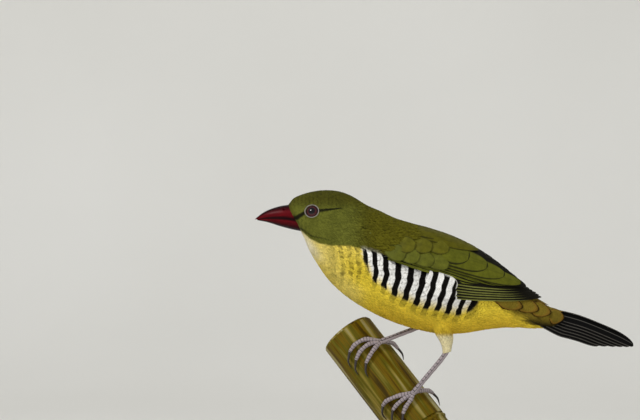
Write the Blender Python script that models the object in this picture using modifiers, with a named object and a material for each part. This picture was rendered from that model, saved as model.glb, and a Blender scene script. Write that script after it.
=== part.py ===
"""A green avadavat, Amandava formosa, as a still life-size museum model.

The male bird grips a short cut length of reed stem, and two short rods on a
round base hold the stem. It faces -X, its left side is -Y, and +Z is up.
The origin is the middle of the base's underside.
"""
import math

import bmesh
import bpy
from mathutils import Vector

# Sizes are millimetres here, and MM turns them into the scene's metres.
MM = 0.001
GAP = 0.3

# The body's sections from the bill's root to the tail's root. Each is an
# ellipse: its top point (x, z), its bottom point (x, z) and its half width.
SECTIONS = [
    (-31.6, 80.7, -28.6, 73.6, 3.3),
    (-30.4, 82.2, -27.6, 71.4, 4.7),
    (-28.0, 83.3, -26.4, 68.5, 5.7),
    (-25.0, 84.1, -25.0, 66.0, 6.4),
    (-21.5, 84.4, -23.6, 63.8, 6.8),
    (-18.0, 84.0, -21.9, 61.3, 7.2),
    (-14.5, 82.6, -19.6, 58.8, 7.9),
    (-10.5, 79.9, -16.6, 56.2, 8.8),
    (-5.5, 77.3, -12.8, 53.7, 9.6),
    (0.0, 75.5, -8.4, 51.3, 10.0),
    (5.2, 73.8, -3.4, 49.2, 10.1),
    (10.4, 71.5, 2.0, 47.6, 9.8),
    (15.4, 68.7, 8.0, 46.5, 9.0),
    (20.4, 65.9, 14.2, 46.7, 7.7),
    (25.2, 62.4, 20.4, 47.7, 6.4),
    (30.4, 58.2, 26.8, 48.2, 5.2),
    (35.6, 54.7, 33.0, 47.9, 3.9),
    (39.4, 53.0, 37.0, 47.6, 3.0),
]
HEAD_ENDS = 4.7
NECK_ENDS = 6.9
BODY_SIDES = 32

# The folded wing's lower edge as seen from the side, where the flank's
# feathers begin, and the plumage that swells over that edge.
WING_EDGE = [(-9.5, 69.6), (-5.2, 66.8), (0.0, 65.3), (5.2, 64.0), (7.8, 62.7),
             (10.4, 61.1), (11.6, 60.0)]
FLANK_SWELL = 1.5
FLANK_FRONT_X = -13.0
FLANK_END_X = 12.2

# Rows of the folded wing's feathers, seen from the side, from the lowest of a
# row to its highest: how many, the roots and tips of the first and the last,
# width, height over the body of the first, rise to the next, and tip shape.
WING_ROWS = {
    "primaries": (7, (12.8, 57.7), (12.8, 61.2), (34.1, 56.9), (29.4, 60.4), 2.9, 0.80, 0.12, 0.6),
    "secondaries": (5, (-5.0, 69.1), (-1.0, 71.2), (17.2, 61.6), (25.6, 61.4), 3.2, 1.40, 0.13, 0.75),
    "tertials": (4, (4.0, 68.9), (2.0, 73.2), (28.6, 61.6), (14.6, 69.7), 5.8, 2.05, 0.15, 0.7),
    "greater coverts": (6, (-6.5, 69.4), (2.4, 72.2), (0.6, 67.2), (10.8, 69.6), 2.9, 1.95, 0.07, 0.75),
    "median coverts": (5, (-8.6, 71.0), (-2.0, 73.4), (-3.4, 69.2), (5.0, 72.2), 2.7, 2.15, 0.04, 0.75),
}
ROOT_LIFT = 0.85
LEAST_LIFT = 0.72
BACK_TUCK = 0.75
BACK_TUCK_ENDS = math.radians(55)
BACK_LIMIT = math.radians(9)
FEATHER_ROLL = 0.3
FEATHER_CROWN = 0.6
FEATHER_EDGE = 0.3
FEATHER_STEPS = 5

# The thin arm that the wing's feathers are rooted in: the body sections that it
# spans, the angles of its upper edge at both ends, and its thickness.
ARM_SPAN = (7.4, 12.2)
ARM_UPPER = (48, 28)
ARM_THICK = 1.5
ARM_STEPS = 12
ARM_COLUMNS = 6

BILL_TIP = (-40.3, 76.6)
CULMEN = [(-32.0, 80.3), (-33.8, 80.0), (-36.4, 79.2), (-38.5, 78.1)]
MOUTH_LINE = [(-30.3, 76.5), (-32.4, 76.8), (-35.2, 76.9), (-37.7, 76.8)]
UNDER_BILL = [(-28.9, 73.6), (-31.2, 74.1), (-33.8, 74.8), (-37.0, 75.8)]
LOWER_TIP = (-39.7, 76.1)
BILL_HALF_WIDTHS = [2.75, 2.55, 1.95, 1.15]
BILL_ARCH = 0.8
NOSTRIL = (-32.9, 1.75, 79.1)
NOSTRIL_RADIUS = 0.44
GAPE_FRONT = (-31.0, 76.65)
GAPE_BACK = (-28.9, 75.9)
GAPE_CUT_DEEP_TO = 3.6

EYE = (-25.5, 78.7)
EYE_RADIUS = 2.1
EYE_PROUD = 0.42
LID_RING = 1.72
LID_THICK = 0.34
LID_SINK = 0.12

# The closed tail: its ridge seen from the side, twelve feathers in pairs that
# lie like roof tiles, the middle pair uppermost and longest.
TAIL_RIDGE = [(39.0, 52.9), (44.2, 51.5), (49.4, 49.5), (54.6, 47.2), (58.1, 45.3)]
TAIL_PAIRS = 6
TAIL_ROOF = math.radians(54)
TAIL_FEATHER_WIDTH = 3.5
TAIL_STEP_DOWN = 0.78
TAIL_STEP_IN = 0.3
TAIL_STEP_SHORT = 0.1
TAIL_THICK = 0.52

# The reed stem: a point on its axis, its lean in the picture's plane, how far
# its upper end recedes, and its cut ends along the axis from that point.
STEM_POINT = Vector((-6.27, 5.4, 33.4))
STEM_LEAN = Vector((-0.62, 0.0, 0.785)).normalized()
STEM_RECEDES = math.radians(20)
STEM_RADIUS = 7.5
STEM_LOW = -20.0
STEM_HIGH = 17.0

# Toes as places on the stem: distance along it (mm, up) and angle around it
# (degrees, 0 faces the viewer's side and 90 the upper right). Each row is the
# toe's joints after the shared base, then the claw's tip.
TOE_BASE = {"left": (-8.5, 31), "right": (7.9, 44)}
TOES = {
    "left": {
        "inner": [(-7.1, 10), (-6.0, -14), (-6.2, -28), (-9.2, -42)],
        "middle": [(-8.4, 12), (-8.5, -5), (-8.9, -18), (-12.2, -34)],
        "outer": [(-9.6, 20), (-10.4, 5), (-11.4, -7), (-14.4, -20)],
        "hind": [(-8.8, 48), (-9.4, 70), (-10.0, 90), (-13.4, 103)],
    },
    "right": {
        "inner": [(7.2, 27), (6.2, 10), (5.2, -4), (2.0, -17)],
        "middle": [(8.9, 22), (8.7, 2), (7.6, -15), (4.4, -31)],
        "outer": [(10.4, 24), (11.0, 3), (10.4, -15), (7.2, -34)],
        "hind": [(7.2, 60), (6.6, 78), (5.4, 92), (2.4, 107)],
    },
}
HEEL = {"left": Vector((9.2, -5.4, 42.4)), "right": Vector((3.2, 6.0, 48.4))}
THIGH_TOP = {"left": Vector((6.9, -3.7, 51.0)), "right": Vector((6.4, 5.6, 52.5))}
THIGH_RADIUS = {"left": 2.7, "right": 2.4}
HEEL_RADIUS = 1.2
TOE_RADIUS = 0.55
CLAW_RADIUS = 0.36

BASE_RADIUS = 38.0
BASE_HEIGHT = 8.0
BASE_EDGE = 1.2
ROD_RADIUS = 2.0
ROD_FOOT = 4.2
ROD_FOOT_HEIGHT = 1.6
ROD_AT = {"lower": -17.0, "upper": -3.5}

MODEL = "green_avadavat"


def clear_scene():
    for old in list(bpy.data.objects):
        bpy.data.objects.remove(old, do_unlink=True)


def collection(name):
    made = bpy.data.collections.new(name)
    bpy.context.scene.collection.children.link(made)
    return made


def material(name, colour, roughness, metallic=0.0):
    made = bpy.data.materials.new(name)
    made.use_nodes = True
    shader = made.node_tree.nodes["Principled BSDF"]
    shader.inputs["Base Color"].default_value = (*colour, 1.0)
    shader.inputs["Roughness"].default_value = roughness
    shader.inputs["Metallic"].default_value = metallic
    return made


def mix(start, end, share):
    return start + (end - start) * share


def ease(value):
    """0 below 0, 1 above 1, and a smooth step between."""
    value = min(max(value, 0.0), 1.0)
    return value * value * (3.0 - 2.0 * value)


def smooth_row(rows, place):
    """Reads a smooth curve through rows of numbers, at a place counted in rows."""
    last = len(rows) - 1
    index = min(max(int(math.floor(place)), 0), last - 1)
    share = place - index
    before, here = rows[max(index - 1, 0)], rows[index]
    after, beyond = rows[index + 1], rows[min(index + 2, last)]
    return [0.5 * (2 * b + (c - a) * share + (2 * a - 5 * b + 4 * c - d) * share ** 2
                   + (3 * b - a - 3 * c + d) * share ** 3)
            for a, b, c, d in zip(before, here, after, beyond)]


def line_at(points, x):
    """The height of a line through (x, z) points."""
    for (x0, z0), (x1, z1) in zip(points, points[1:]):
        if x <= x1:
            return mix(z0, z1, max(x - x0, 0.0) / (x1 - x0))
    return points[-1][1]


def section(place):
    """A body section's middle, its vector up to the top point, and its half width."""
    top_x, top_z, low_x, low_z, half = smooth_row(SECTIONS, place)
    top = Vector((top_x, 0.0, top_z))
    low = Vector((low_x, 0.0, low_z))
    return (top + low) / 2, (top - low) / 2, half


def body_point(place, angle, side=-1, flank=False):
    """A point on the body: angle 0 is the back, 90 degrees the side, 180 the belly."""
    middle, up, half = section(place)
    point = middle + up * math.cos(angle)
    out = half * math.sin(angle)
    if flank:
        below_wing = ease((line_at(WING_EDGE, point.x) - 0.3 - point.z) / 2.0)
        above_belly = ease((point.z - 49.0) / 9.0)
        along = ease((FLANK_END_X - point.x) / 1.6) * ease((point.x - FLANK_FRONT_X) / 9.0)
        out += FLANK_SWELL * below_wing * above_belly * along * math.sin(angle)
    point.y = side * out
    return point


def body_normal(place, angle, side=-1, flank=False):
    step = 0.02
    along = (body_point(place + step, angle, side, flank)
             - body_point(place - step, angle, side, flank))
    around = (body_point(place, angle + step, side, flank)
              - body_point(place, angle - step, side, flank))
    normal = along.cross(around).normalized()
    middle = section(place)[0]
    if normal.dot(body_point(place, angle, side, flank) - middle) < 0:
        normal.negate()
    return normal


def seen(x, z):
    """The place and angle on the body of a point seen from the side."""
    target = Vector((x, 0.0, z))

    def offset(place):
        middle, up, _ = section(place)
        return (target - middle).cross(up).y

    low, high = 0.0, len(SECTIONS) - 1.0
    sign = offset(low) > 0
    for _ in range(40):
        half_way = (low + high) / 2
        if (offset(half_way) > 0) == sign:
            low = half_way
        else:
            high = half_way
    middle, up, _ = section(low)
    share = (target - middle).dot(up) / up.length_squared
    return low, math.acos(min(max(share, -1.0), 1.0))


def seen_over(x, z, lift):
    """Where to stand on the body for a point lifted off it to show at (x, z)."""
    guess_x, guess_z = x, z
    for _ in range(6):
        place, angle = seen(guess_x, guess_z)
        point = body_point(place, angle) + body_normal(place, angle) * lift
        guess_x += (x - point.x) * 0.8
        guess_z += (z - point.z) * 0.8
    return place, angle


def beside(place, angle, offset):
    """The place and angle reached from a spot on the left side by a short way along the skin."""
    step = 0.01
    here = body_point(place, angle)
    along = (body_point(place + step, angle) - here) / step
    around = (body_point(place, angle + step) - here) / step
    aa, ab, bb = along.dot(along), along.dot(around), around.dot(around)
    oa, ob = offset.dot(along), offset.dot(around)
    spread = aa * bb - ab * ab
    return place + (oa * bb - ob * ab) / spread, angle + (ob * aa - oa * ab) / spread


def mesh_object(name, mesh):
    made = bpy.data.objects.new(name, mesh)
    bpy.context.scene.collection.objects.link(made)
    return made


def loft(name, rings):
    """A closed body through rings of points, with a flat cap at each end."""
    work = bmesh.new()
    rows = [[work.verts.new(Vector(point) * MM) for point in ring] for ring in rings]
    count = len(rows[0])
    for row, following in zip(rows, rows[1:]):
        for index in range(count):
            after = (index + 1) % count
            work.faces.new((row[index], row[after], following[after], following[index]))
    work.faces.new(rows[0])
    work.faces.new(rows[-1])
    bmesh.ops.recalc_face_normals(work, faces=work.faces)
    mesh = bpy.data.meshes.new(name)
    work.to_mesh(mesh)
    work.free()
    return mesh_object(name, mesh)


def body_ring(place, swell=0.0, flank=True):
    """The points round one body section, moved out by swell."""
    ring = []
    for index in range(BODY_SIDES):
        angle = 2 * math.pi * index / BODY_SIDES
        side = -1 if angle <= math.pi else 1
        turn = angle if angle <= math.pi else 2 * math.pi - angle
        point = body_point(place, turn, side, flank)
        if swell:
            point = point + body_normal(place, turn, side, flank) * swell
        ring.append(point)
    return ring


def body_length(name, start, end, rings, swell=0.0):
    """A length of the body, whose front face stands GAP behind its section."""
    middle, up, _ = section(start)
    forward = Vector((up.z, 0.0, -up.x)).normalized()
    places = [mix(start, end, index / rings) for index in range(rings + 1)]
    rows = [body_ring(place, swell) for place in places]
    rows[0] = [point + forward * GAP for point in rows[0]]
    return loft(name, rows)


def swollen_body():
    """The whole body moved out by the gap, which cuts what meets it."""
    places = [index * 0.5 for index in range(2 * len(SECTIONS) - 1)]
    return loft("swollen_body", [body_ring(place, GAP) for place in places])


def sphere(name, centre, radius, segments=20, rings=12):
    bpy.ops.mesh.primitive_uv_sphere_add(segments=segments, ring_count=rings,
                                         radius=radius * MM, location=Vector(centre) * MM)
    made = bpy.context.object
    made.name = name
    return made


def tube(name, points, radii, sides_level=2):
    """A round tube through points, with a radius at each, as a closed mesh."""
    curve = bpy.data.curves.new(name, "CURVE")
    curve.dimensions = "3D"
    curve.bevel_depth = MM
    curve.bevel_resolution = sides_level
    curve.use_fill_caps = True
    spline = curve.splines.new("POLY")
    spline.points.add(len(points) - 1)
    for place, point, radius in zip(spline.points, points, radii):
        place.co = (*(Vector(point) * MM), 1.0)
        place.radius = radius
    drawn = mesh_object(name + "_curve", curve)
    depsgraph = bpy.context.evaluated_depsgraph_get()
    mesh = bpy.data.meshes.new_from_object(drawn.evaluated_get(depsgraph))
    work = bmesh.new()
    work.from_mesh(mesh)
    bmesh.ops.remove_doubles(work, verts=work.verts, dist=0.00001)
    bmesh.ops.recalc_face_normals(work, faces=work.faces)
    work.to_mesh(mesh)
    work.free()
    bpy.data.objects.remove(drawn, do_unlink=True)
    bpy.data.curves.remove(curve)
    return mesh_object(name, mesh)


def through(points, count):
    """Count points along a smooth curve through a few."""
    rows = [tuple(point) for point in points]
    return [Vector(smooth_row(rows, (len(rows) - 1) * index / (count - 1)))
            for index in range(count)]


def apply_modifiers(made):
    depsgraph = bpy.context.evaluated_depsgraph_get()
    mesh = bpy.data.meshes.new_from_object(made.evaluated_get(depsgraph))
    made.modifiers.clear()
    made.data = mesh


def keep_largest(made):
    """Keeps only the object's largest closed surface."""
    work = bmesh.new()
    work.from_mesh(made.data)
    left = set(work.verts)
    islands = []
    while left:
        grown = {left.pop()}
        edge_of = set(grown)
        while edge_of:
            edge_of = {edge.other_vert(vert) for vert in edge_of for edge in vert.link_edges} - grown
            grown |= edge_of
        left -= grown
        islands.append(grown)
    islands.sort(key=len)
    spare = [vert for island in islands[:-1] for vert in island]
    bmesh.ops.delete(work, geom=spare, context="VERTS")
    work.to_mesh(made.data)
    work.free()


def fuse(made, pieces, solver="EXACT"):
    """Joins closed pieces to an object by one union, and removes them."""
    held = collection(made.name + "_pieces")
    for piece in pieces:
        held.objects.link(piece)
    joint = made.modifiers.new("Joined pieces", "BOOLEAN")
    joint.operation = "UNION"
    joint.operand_type = "COLLECTION"
    joint.collection = held
    joint.solver = solver
    apply_modifiers(made)
    for piece in pieces:
        bpy.data.objects.remove(piece, do_unlink=True)
    bpy.data.collections.remove(held)
    keep_largest(made)


def cut(made, cutters, solver="EXACT"):
    """Cuts closed cutters from an object, and removes them."""
    for cutter in cutters:
        taken = made.modifiers.new("Cut", "BOOLEAN")
        taken.operation = "DIFFERENCE"
        taken.object = cutter
        taken.solver = solver
    apply_modifiers(made)
    for cutter in cutters:
        bpy.data.objects.remove(cutter, do_unlink=True)
    keep_largest(made)


def finish(made, paint, home, smooth_angle=40):
    for holder in list(made.users_collection):
        holder.objects.unlink(made)
    home.objects.link(made)
    made.data.materials.clear()
    made.data.materials.append(paint)
    made.data.shade_smooth()
    made.data.set_sharp_from_angle(angle=math.radians(smooth_angle))
    return made


# Head, neck and torso

def eye_centre(side):
    place, angle = seen(*EYE)
    skin = body_point(place, angle, side)
    return skin - body_normal(place, angle, side) * (EYE_RADIUS - EYE_PROUD)


def make_head():
    head = body_length("head", 0.0, HEAD_ENDS, 11)
    lids = []
    sockets = []
    for side in (-1, 1):
        place, angle = seen(*EYE)
        normal = body_normal(place, angle, side)
        turn = normal.to_track_quat("Z", "Y").to_euler()
        centre = body_point(place, angle, side) - normal * LID_SINK
        bpy.ops.mesh.primitive_torus_add(location=centre * MM, rotation=turn,
                                         major_radius=LID_RING * MM,
                                         minor_radius=LID_THICK * MM,
                                         major_segments=20, minor_segments=6)
        lids.append(bpy.context.object)
        sockets.append(sphere("socket", eye_centre(side), EYE_RADIUS + GAP, 20, 10))
    fuse(head, lids)
    cut(head, sockets + [gape_groove()])
    return head


def gape_groove():
    """A thin wedge that carries the line of the mouth on behind the bill."""
    square = ((-1, -1), (1, -1), (1, 1), (-1, 1))
    rings = []
    for (x, z), half_height, half_width in ((GAPE_FRONT, 0.2, 5.0), (GAPE_BACK, 0.08, 5.2)):
        rings.append([Vector((x, across * half_width, z + high * half_height))
                      for across, high in square])
    groove = loft("gape_groove", rings)
    heart = loft("gape_heart", [[Vector((x, across * GAPE_CUT_DEEP_TO, GAPE_BACK[1] + high * 2))
                                 for across, high in square]
                                for x in (GAPE_FRONT[0] - 3.0, GAPE_BACK[0] + 2.0)])
    cut(groove, [heart])
    return groove


def make_neck():
    return body_length("neck", HEAD_ENDS, NECK_ENDS, 6)


def make_torso():
    return body_length("torso", NECK_ENDS, len(SECTIONS) - 1.0, 26)


def make_eye(side_name, side):
    return sphere("eye_" + side_name, eye_centre(side), EYE_RADIUS, 16, 9)


# Bill

def mandible(name, edge, keel, tip, edge_tip):
    """Half of the bill between the line of the mouth and its outer ridge."""
    rings = []
    rows = [(*a, *b, half) for a, b, half in zip(edge, keel, BILL_HALF_WIDTHS)]
    rows.append((*edge_tip, *tip, 0.3))
    steps = 9
    half_turns = 8
    for index in range(steps + 1):
        place = (len(rows) - 1) * index / steps
        edge_x, edge_z, keel_x, keel_z, half = smooth_row(rows, place)
        root = Vector((edge_x, 0.0, edge_z))
        up = Vector((keel_x, 0.0, keel_z)) - root
        ring = []
        for turn in range(half_turns + 1):
            angle = math.pi * turn / half_turns
            rise = math.sin(angle) ** BILL_ARCH
            ring.append(root + up * rise + Vector((0.0, half * math.cos(angle), 0.0)))
        rings.append(ring)
    return loft(name, rings)


def make_bill_upper():
    tip_x, tip_z = BILL_TIP
    bill = mandible("bill_upper", MOUTH_LINE, CULMEN, (tip_x, tip_z + 0.35), (tip_x, tip_z - 0.2))
    x, y, z = NOSTRIL
    pits = [sphere("nostril", (x, side * y, z), NOSTRIL_RADIUS, 10, 6) for side in (-1, 1)]
    cut(bill, pits)
    return bill


def make_bill_lower():
    edge = [(x + 0.15, z - GAP) for x, z in MOUTH_LINE]
    tip_x, tip_z = LOWER_TIP
    return mandible("bill_lower", edge, UNDER_BILL, (tip_x, tip_z - 0.25), (tip_x, tip_z + 0.15))


def trim_to_head(bill):
    """Cuts the bill's root off along the head's front face."""
    middle, up, _ = section(0.0)
    forward = Vector((up.z, 0.0, -up.x)).normalized()
    block = loft("front", [[middle + forward * (reach - GAP) + up.normalized() * high
                            + Vector((0, across, 0))
                            for across, high in ((-9, -9), (9, -9), (9, 9), (-9, 9))]
                           for reach in (0.0, 9.0)])
    cut(bill, [block])


# Wings and tail

def feather_outline(share, tip):
    """A feather's half width along its length, as a share of its widest."""
    rise = mix(0.62, 1.0, ease(share / 0.5))
    if share <= tip:
        return rise
    return rise * math.sqrt(max(1.0 - ((share - tip) / (1.0 - tip)) ** 2, 0.0))


def blade_ring(points, normals, crown, edge):
    """Six points round a thin blade: three over it and three under it."""
    thick = (edge, crown, edge)
    over = [point + normal * size / 2 for point, normal, size in zip(points, normals, thick)]
    under = [point - normal * size / 2 for point, normal, size in zip(points, normals, thick)]
    return over + under[::-1]


def tucked(height, angle):
    """A height over the body, less towards the back, where the wings' edges lie close."""
    return LEAST_LIFT + (height - LEAST_LIFT) * mix(BACK_TUCK, 1.0, ease(angle / BACK_TUCK_ENDS))


def wing_feather(side, root, tip, width, lift, tip_shape):
    """One feather as a thin blade that lies over the body, straight as seen from the side."""
    spots = []
    for step in range(FEATHER_STEPS + 1):
        share = 0.985 * (step / FEATHER_STEPS) ** 0.85
        x, z = (mix(a, b, share) for a, b in zip(root, tip))
        height = mix(mix(ROOT_LIFT, lift, 0.35), lift, ease(share * 1.7))
        place, angle = seen_over(x, z, height)
        spots.append((share, place, max(angle, BACK_LIMIT), height))
    rings = []
    for step, (share, place, angle, height) in enumerate(spots):
        before, after = spots[max(step - 1, 0)], spots[min(step + 1, FEATHER_STEPS)]
        ahead = body_point(after[1], after[2]) - body_point(before[1], before[2])
        across = ahead.cross(body_normal(place, angle)).normalized()
        outline = feather_outline(share, tip_shape)
        points, normals = [], []
        for column in (-1, 0, 1):
            spot = beside(place, angle, across * (width / 2 * outline * column))
            flat = body_normal(*spot)
            over = tucked(height - FEATHER_ROLL * column * outline, abs(spot[1]))
            points.append(body_point(*spot) + flat * over)
            normals.append(flat)
        thin = 1.0 - 0.45 * ease(share * 2 - 1)
        rings.append(blade_ring(points, normals, FEATHER_CROWN * thin, FEATHER_EDGE * thin))
    if side > 0:
        rings = [[Vector((point.x, -point.y, point.z)) for point in ring] for ring in rings]
    return loft("feather", rings)


def wing_row(side, row):
    count, root_0, root_1, tip_0, tip_1, width, lift, rise, tip_shape = row
    feathers = []
    for index in range(count):
        share = index / (count - 1)
        root = [mix(a, b, share) for a, b in zip(root_0, root_1)]
        tip = [mix(a, b, share) for a, b in zip(tip_0, tip_1)]
        feathers.append(wing_feather(side, root, tip, width, lift + rise * index, tip_shape))
    return feathers


def make_wing(side_name, side):
    """A folded wing: a thin arm on the body, and rows of feathers rooted in it."""
    rings = []
    for index in range(ARM_STEPS + 1):
        share = index / ARM_STEPS
        place = mix(*ARM_SPAN, share)
        upper = math.radians(mix(*ARM_UPPER, ease(share * 1.2)))
        lower = max(wing_lower_angle(place) - 0.06, upper + 0.1)
        shoulder = mix(0.3, 1.0, math.sqrt(1.0 - (1.0 - min(share * 4.0, 1.0)) ** 2))
        middle_angle = mix(upper, lower, 0.5)
        upper, lower = mix(middle_angle, upper, shoulder), mix(middle_angle, lower, shoulder)
        thick = ARM_THICK * min(shoulder, 0.4 + (1 - share) * 1.5)
        outer, inner = [], []
        for column in range(ARM_COLUMNS + 1):
            angle = mix(upper, lower, column / ARM_COLUMNS)
            point = body_point(place, angle, side)
            normal = body_normal(place, angle, side)
            crown = 0.35 + 0.65 * math.sin(math.pi * column / ARM_COLUMNS) ** 0.6
            outer.append(point + normal * (GAP + 0.12 + thick * crown))
            inner.append(point + normal * (GAP + 0.12))
        rings.append(outer + inner[::-1])
    wing = loft("wing_" + side_name, rings)
    feathers = [feather for row in WING_ROWS.values() for feather in wing_row(side, row)]
    fuse(wing, feathers, "MANIFOLD")
    cut(wing, [swollen_body(), middle_slab()], "MANIFOLD")
    return wing


def wing_lower_angle(place):
    """Where a body section crosses the folded wing's lower edge."""
    middle, up, _ = section(place)
    for index in range(181):
        angle = math.radians(index)
        point = middle + up * math.cos(angle)
        if point.z < line_at(WING_EDGE, point.x):
            return angle
    return math.pi


def middle_slab():
    """A thin upright slab along the bird's middle that keeps its two wings apart."""
    return loft("middle_slab", [[Vector((x, across * GAP / 2, 60.0 + high * 30.0))
                                 for across, high in ((-1, -1), (1, -1), (1, 1), (-1, 1))]
                                for x in (-20.0, 45.0)])


def tail_feather(pair, side):
    """One tail feather: deeper in the roof, lower and shorter for each pair outward."""
    rings = []
    slope = Vector((0.0, side * math.cos(TAIL_ROOF), -math.sin(TAIL_ROOF)))
    reach = 1.0 - TAIL_STEP_SHORT * pair
    for step in range(FEATHER_STEPS + 1):
        share = (step / FEATHER_STEPS) ** 0.85
        along = mix(0.03, reach, share)
        x, z = smooth_row(TAIL_RIDGE, along * (len(TAIL_RIDGE) - 1))
        next_x, next_z = smooth_row(TAIL_RIDGE, along * (len(TAIL_RIDGE) - 1) + 0.02)
        ahead = Vector((next_x - x, 0.0, next_z - z)).normalized()
        normal = slope.cross(ahead).normalized()
        if normal.z < 0:
            normal.negate()
        down = mix(1.2 + 0.6 * pair, 1.4 + TAIL_STEP_DOWN * pair, ease(share * 3.0))
        inward = mix(0.24 * pair, TAIL_STEP_IN * pair, share) + 0.4
        half = TAIL_FEATHER_WIDTH / 2 * feather_outline(min(share * 0.985, 1.0), 0.68)
        middle = Vector((x, 0.0, z)) + slope * down - normal * inward
        points = [middle + slope * half * column for column in (-1, 0, 1)]
        thin = 1.0 - 0.4 * ease(share * 2 - 1)
        rings.append(blade_ring(points, [normal] * 3, TAIL_THICK * thin, TAIL_THICK * 0.7 * thin))
    return loft("feather", rings)


def make_tail():
    """The closed tail: a short root behind the body, and twelve feathers from it."""
    last = len(SECTIONS) - 1.0
    middle, up, _ = section(last)
    forward = Vector((up.z, 0.0, -up.x)).normalized()
    sink = Vector((TAIL_RIDGE[1][0], 0.0, TAIL_RIDGE[1][1] - 3.3)) - middle
    rings = []
    for reach, size in ((0.0, 1.0), (0.25, 0.88), (0.55, 0.5)):
        rings.append([middle + forward * GAP + sink * reach + (point - middle) * size
                      for point in body_ring(last)])
    tail = loft("tail", rings)
    feathers = [tail_feather(pair, side) for pair in range(TAIL_PAIRS) for side in (-1, 1)]
    fuse(tail, feathers, "MANIFOLD")
    front = loft("front", [[middle + forward * (GAP + reach) + up.normalized() * high
                            + Vector((0.0, across, 0.0))
                            for across, high in ((-9, -9), (9, -9), (9, 9), (-9, 9))]
                           for reach in (-9.0, 0.0)])
    cut(tail, [front], "MANIFOLD")
    return tail


# Legs and claws

def stem_axis():
    return (STEM_LEAN * math.cos(STEM_RECEDES) + Vector((0, math.sin(STEM_RECEDES), 0))).normalized()


def on_stem(along, around, lift):
    """A point over the stem's surface."""
    axis = stem_axis()
    right = Vector((STEM_LEAN.z, 0.0, -STEM_LEAN.x))
    facing = right.cross(axis).normalized()
    if facing.y > 0:
        facing.negate()
    turn = math.radians(around)
    out = facing * math.cos(turn) + right * math.sin(turn)
    return STEM_POINT + axis * along + out * (STEM_RADIUS + lift)


def toe_points(side_name, toe):
    base = TOE_BASE[side_name]
    joints = TOES[side_name][toe][:3]
    lifts = [TOE_RADIUS + GAP + 0.35, TOE_RADIUS + GAP + 0.25, TOE_RADIUS + GAP + 0.1,
             TOE_RADIUS + GAP]
    return [on_stem(*place, lift) for place, lift in zip([base] + joints, lifts)]


def make_leg(side_name):
    """The bare leg below the heel and its four toes, joined in one body."""
    foot = on_stem(*TOE_BASE[side_name], TOE_RADIUS + GAP + 0.35)
    heel = HEEL[side_name]
    root = heel + (THIGH_TOP[side_name] - heel).normalized() * 0.6
    shank = through([root, mix(heel, foot, 0.12), mix(heel, foot, 0.6), foot], 8)
    radii = [0.95, 0.75, 0.66, 0.62, 0.62, 0.64, 0.72, 0.85]
    leg = tube("leg_" + side_name, shank, radii)
    toes = []
    for name in TOES[side_name]:
        points = through(toe_points(side_name, name), 9)
        plump = [1.15, 1.0, 0.95, 1.12, 0.92, 0.9, 1.06, 0.88, 0.78]
        toes.append(tube("toe", points, [TOE_RADIUS * share for share in plump]))
    fuse(leg, toes)
    cut(leg, [thigh_form(side_name, GAP), swollen_body()])
    return leg


def make_claw(side_name, toe):
    """A hooked claw that starts a gap beyond its toe and ends in a point."""
    joints = toe_points(side_name, toe)
    ahead = (joints[-1] - joints[-2]).normalized()
    root = joints[-1] + ahead * (GAP + 0.42)
    tip = on_stem(*TOES[side_name][toe][3], GAP + 0.18)
    middle = mix(root, tip, 0.45) + ahead * 0.55
    stem_side = on_stem(*TOES[side_name][toe][3], 2.0) - tip
    middle += stem_side.normalized() * 0.35
    points = through([root, middle, tip], 6)
    radii = [CLAW_RADIUS * share for share in (1.0, 0.95, 0.82, 0.62, 0.4, 0.16)]
    return tube("claw_" + side_name + "_" + toe, points, radii, 1)


def thigh_form(side_name, swell=0.0):
    """The feathered thigh from inside the belly to the heel, moved out by swell."""
    top, heel = THIGH_TOP[side_name], HEEL[side_name]
    ahead = (heel - top).normalized()
    bulge = mix(top, heel, 0.6) + Vector((0.9, 0.0, 0.0))
    path = through([top, bulge, heel + ahead * swell], 9)
    across = Vector((0.0, 1.0, 0.0))
    front = ahead.cross(across).normalized()
    rings = []
    for index, point in enumerate(path):
        share = index / (len(path) - 1)
        radius = mix(THIGH_RADIUS[side_name], HEEL_RADIUS, ease(share * 1.05)) + swell
        ring = []
        for step in range(16):
            turn = 2 * math.pi * step / 16
            ring.append(point + across * (math.cos(turn) * radius)
                        + front * (math.sin(turn) * radius * 1.1))
        rings.append(ring)
    return loft("thigh_" + side_name, rings)


def make_thigh(side_name):
    thigh = thigh_form(side_name)
    cut(thigh, [swollen_body()])
    return thigh


# Perch and stand

def stem_body(name, swell=0.0):
    """The cut length of reed: a turned profile on the stem's axis."""
    profile = [(0.0, STEM_HIGH), (0.93, STEM_HIGH), (0.97, STEM_HIGH - 0.4), (0.975, -1.0),
               (1.0, -15.2), (1.05, -15.8), (1.05, -16.6), (1.0, -17.2), (0.99, STEM_LOW + 0.4),
               (0.95, STEM_LOW), (0.0, STEM_LOW)]
    work = bmesh.new()
    points = []
    for share, along in profile:
        radius = share * STEM_RADIUS + (swell if share else 0.0)
        reach = along + (swell if along > 0 else -swell) * (1 if share < 0.96 else 0)
        points.append(work.verts.new((radius * MM, 0.0, reach * MM)))
    for start, end in zip(points, points[1:]):
        work.edges.new((start, end))
    mesh = bpy.data.meshes.new(name)
    work.to_mesh(mesh)
    work.free()
    stem = mesh_object(name, mesh)
    turned = stem.modifiers.new("Turned", "SCREW")
    turned.steps = 32
    turned.render_steps = 32
    turned.use_merge_vertices = True
    turned.merge_threshold = 0.00001
    stem.location = STEM_POINT * MM
    stem.rotation_euler = stem_axis().to_track_quat("Z", "Y").to_euler()
    return stem


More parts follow.
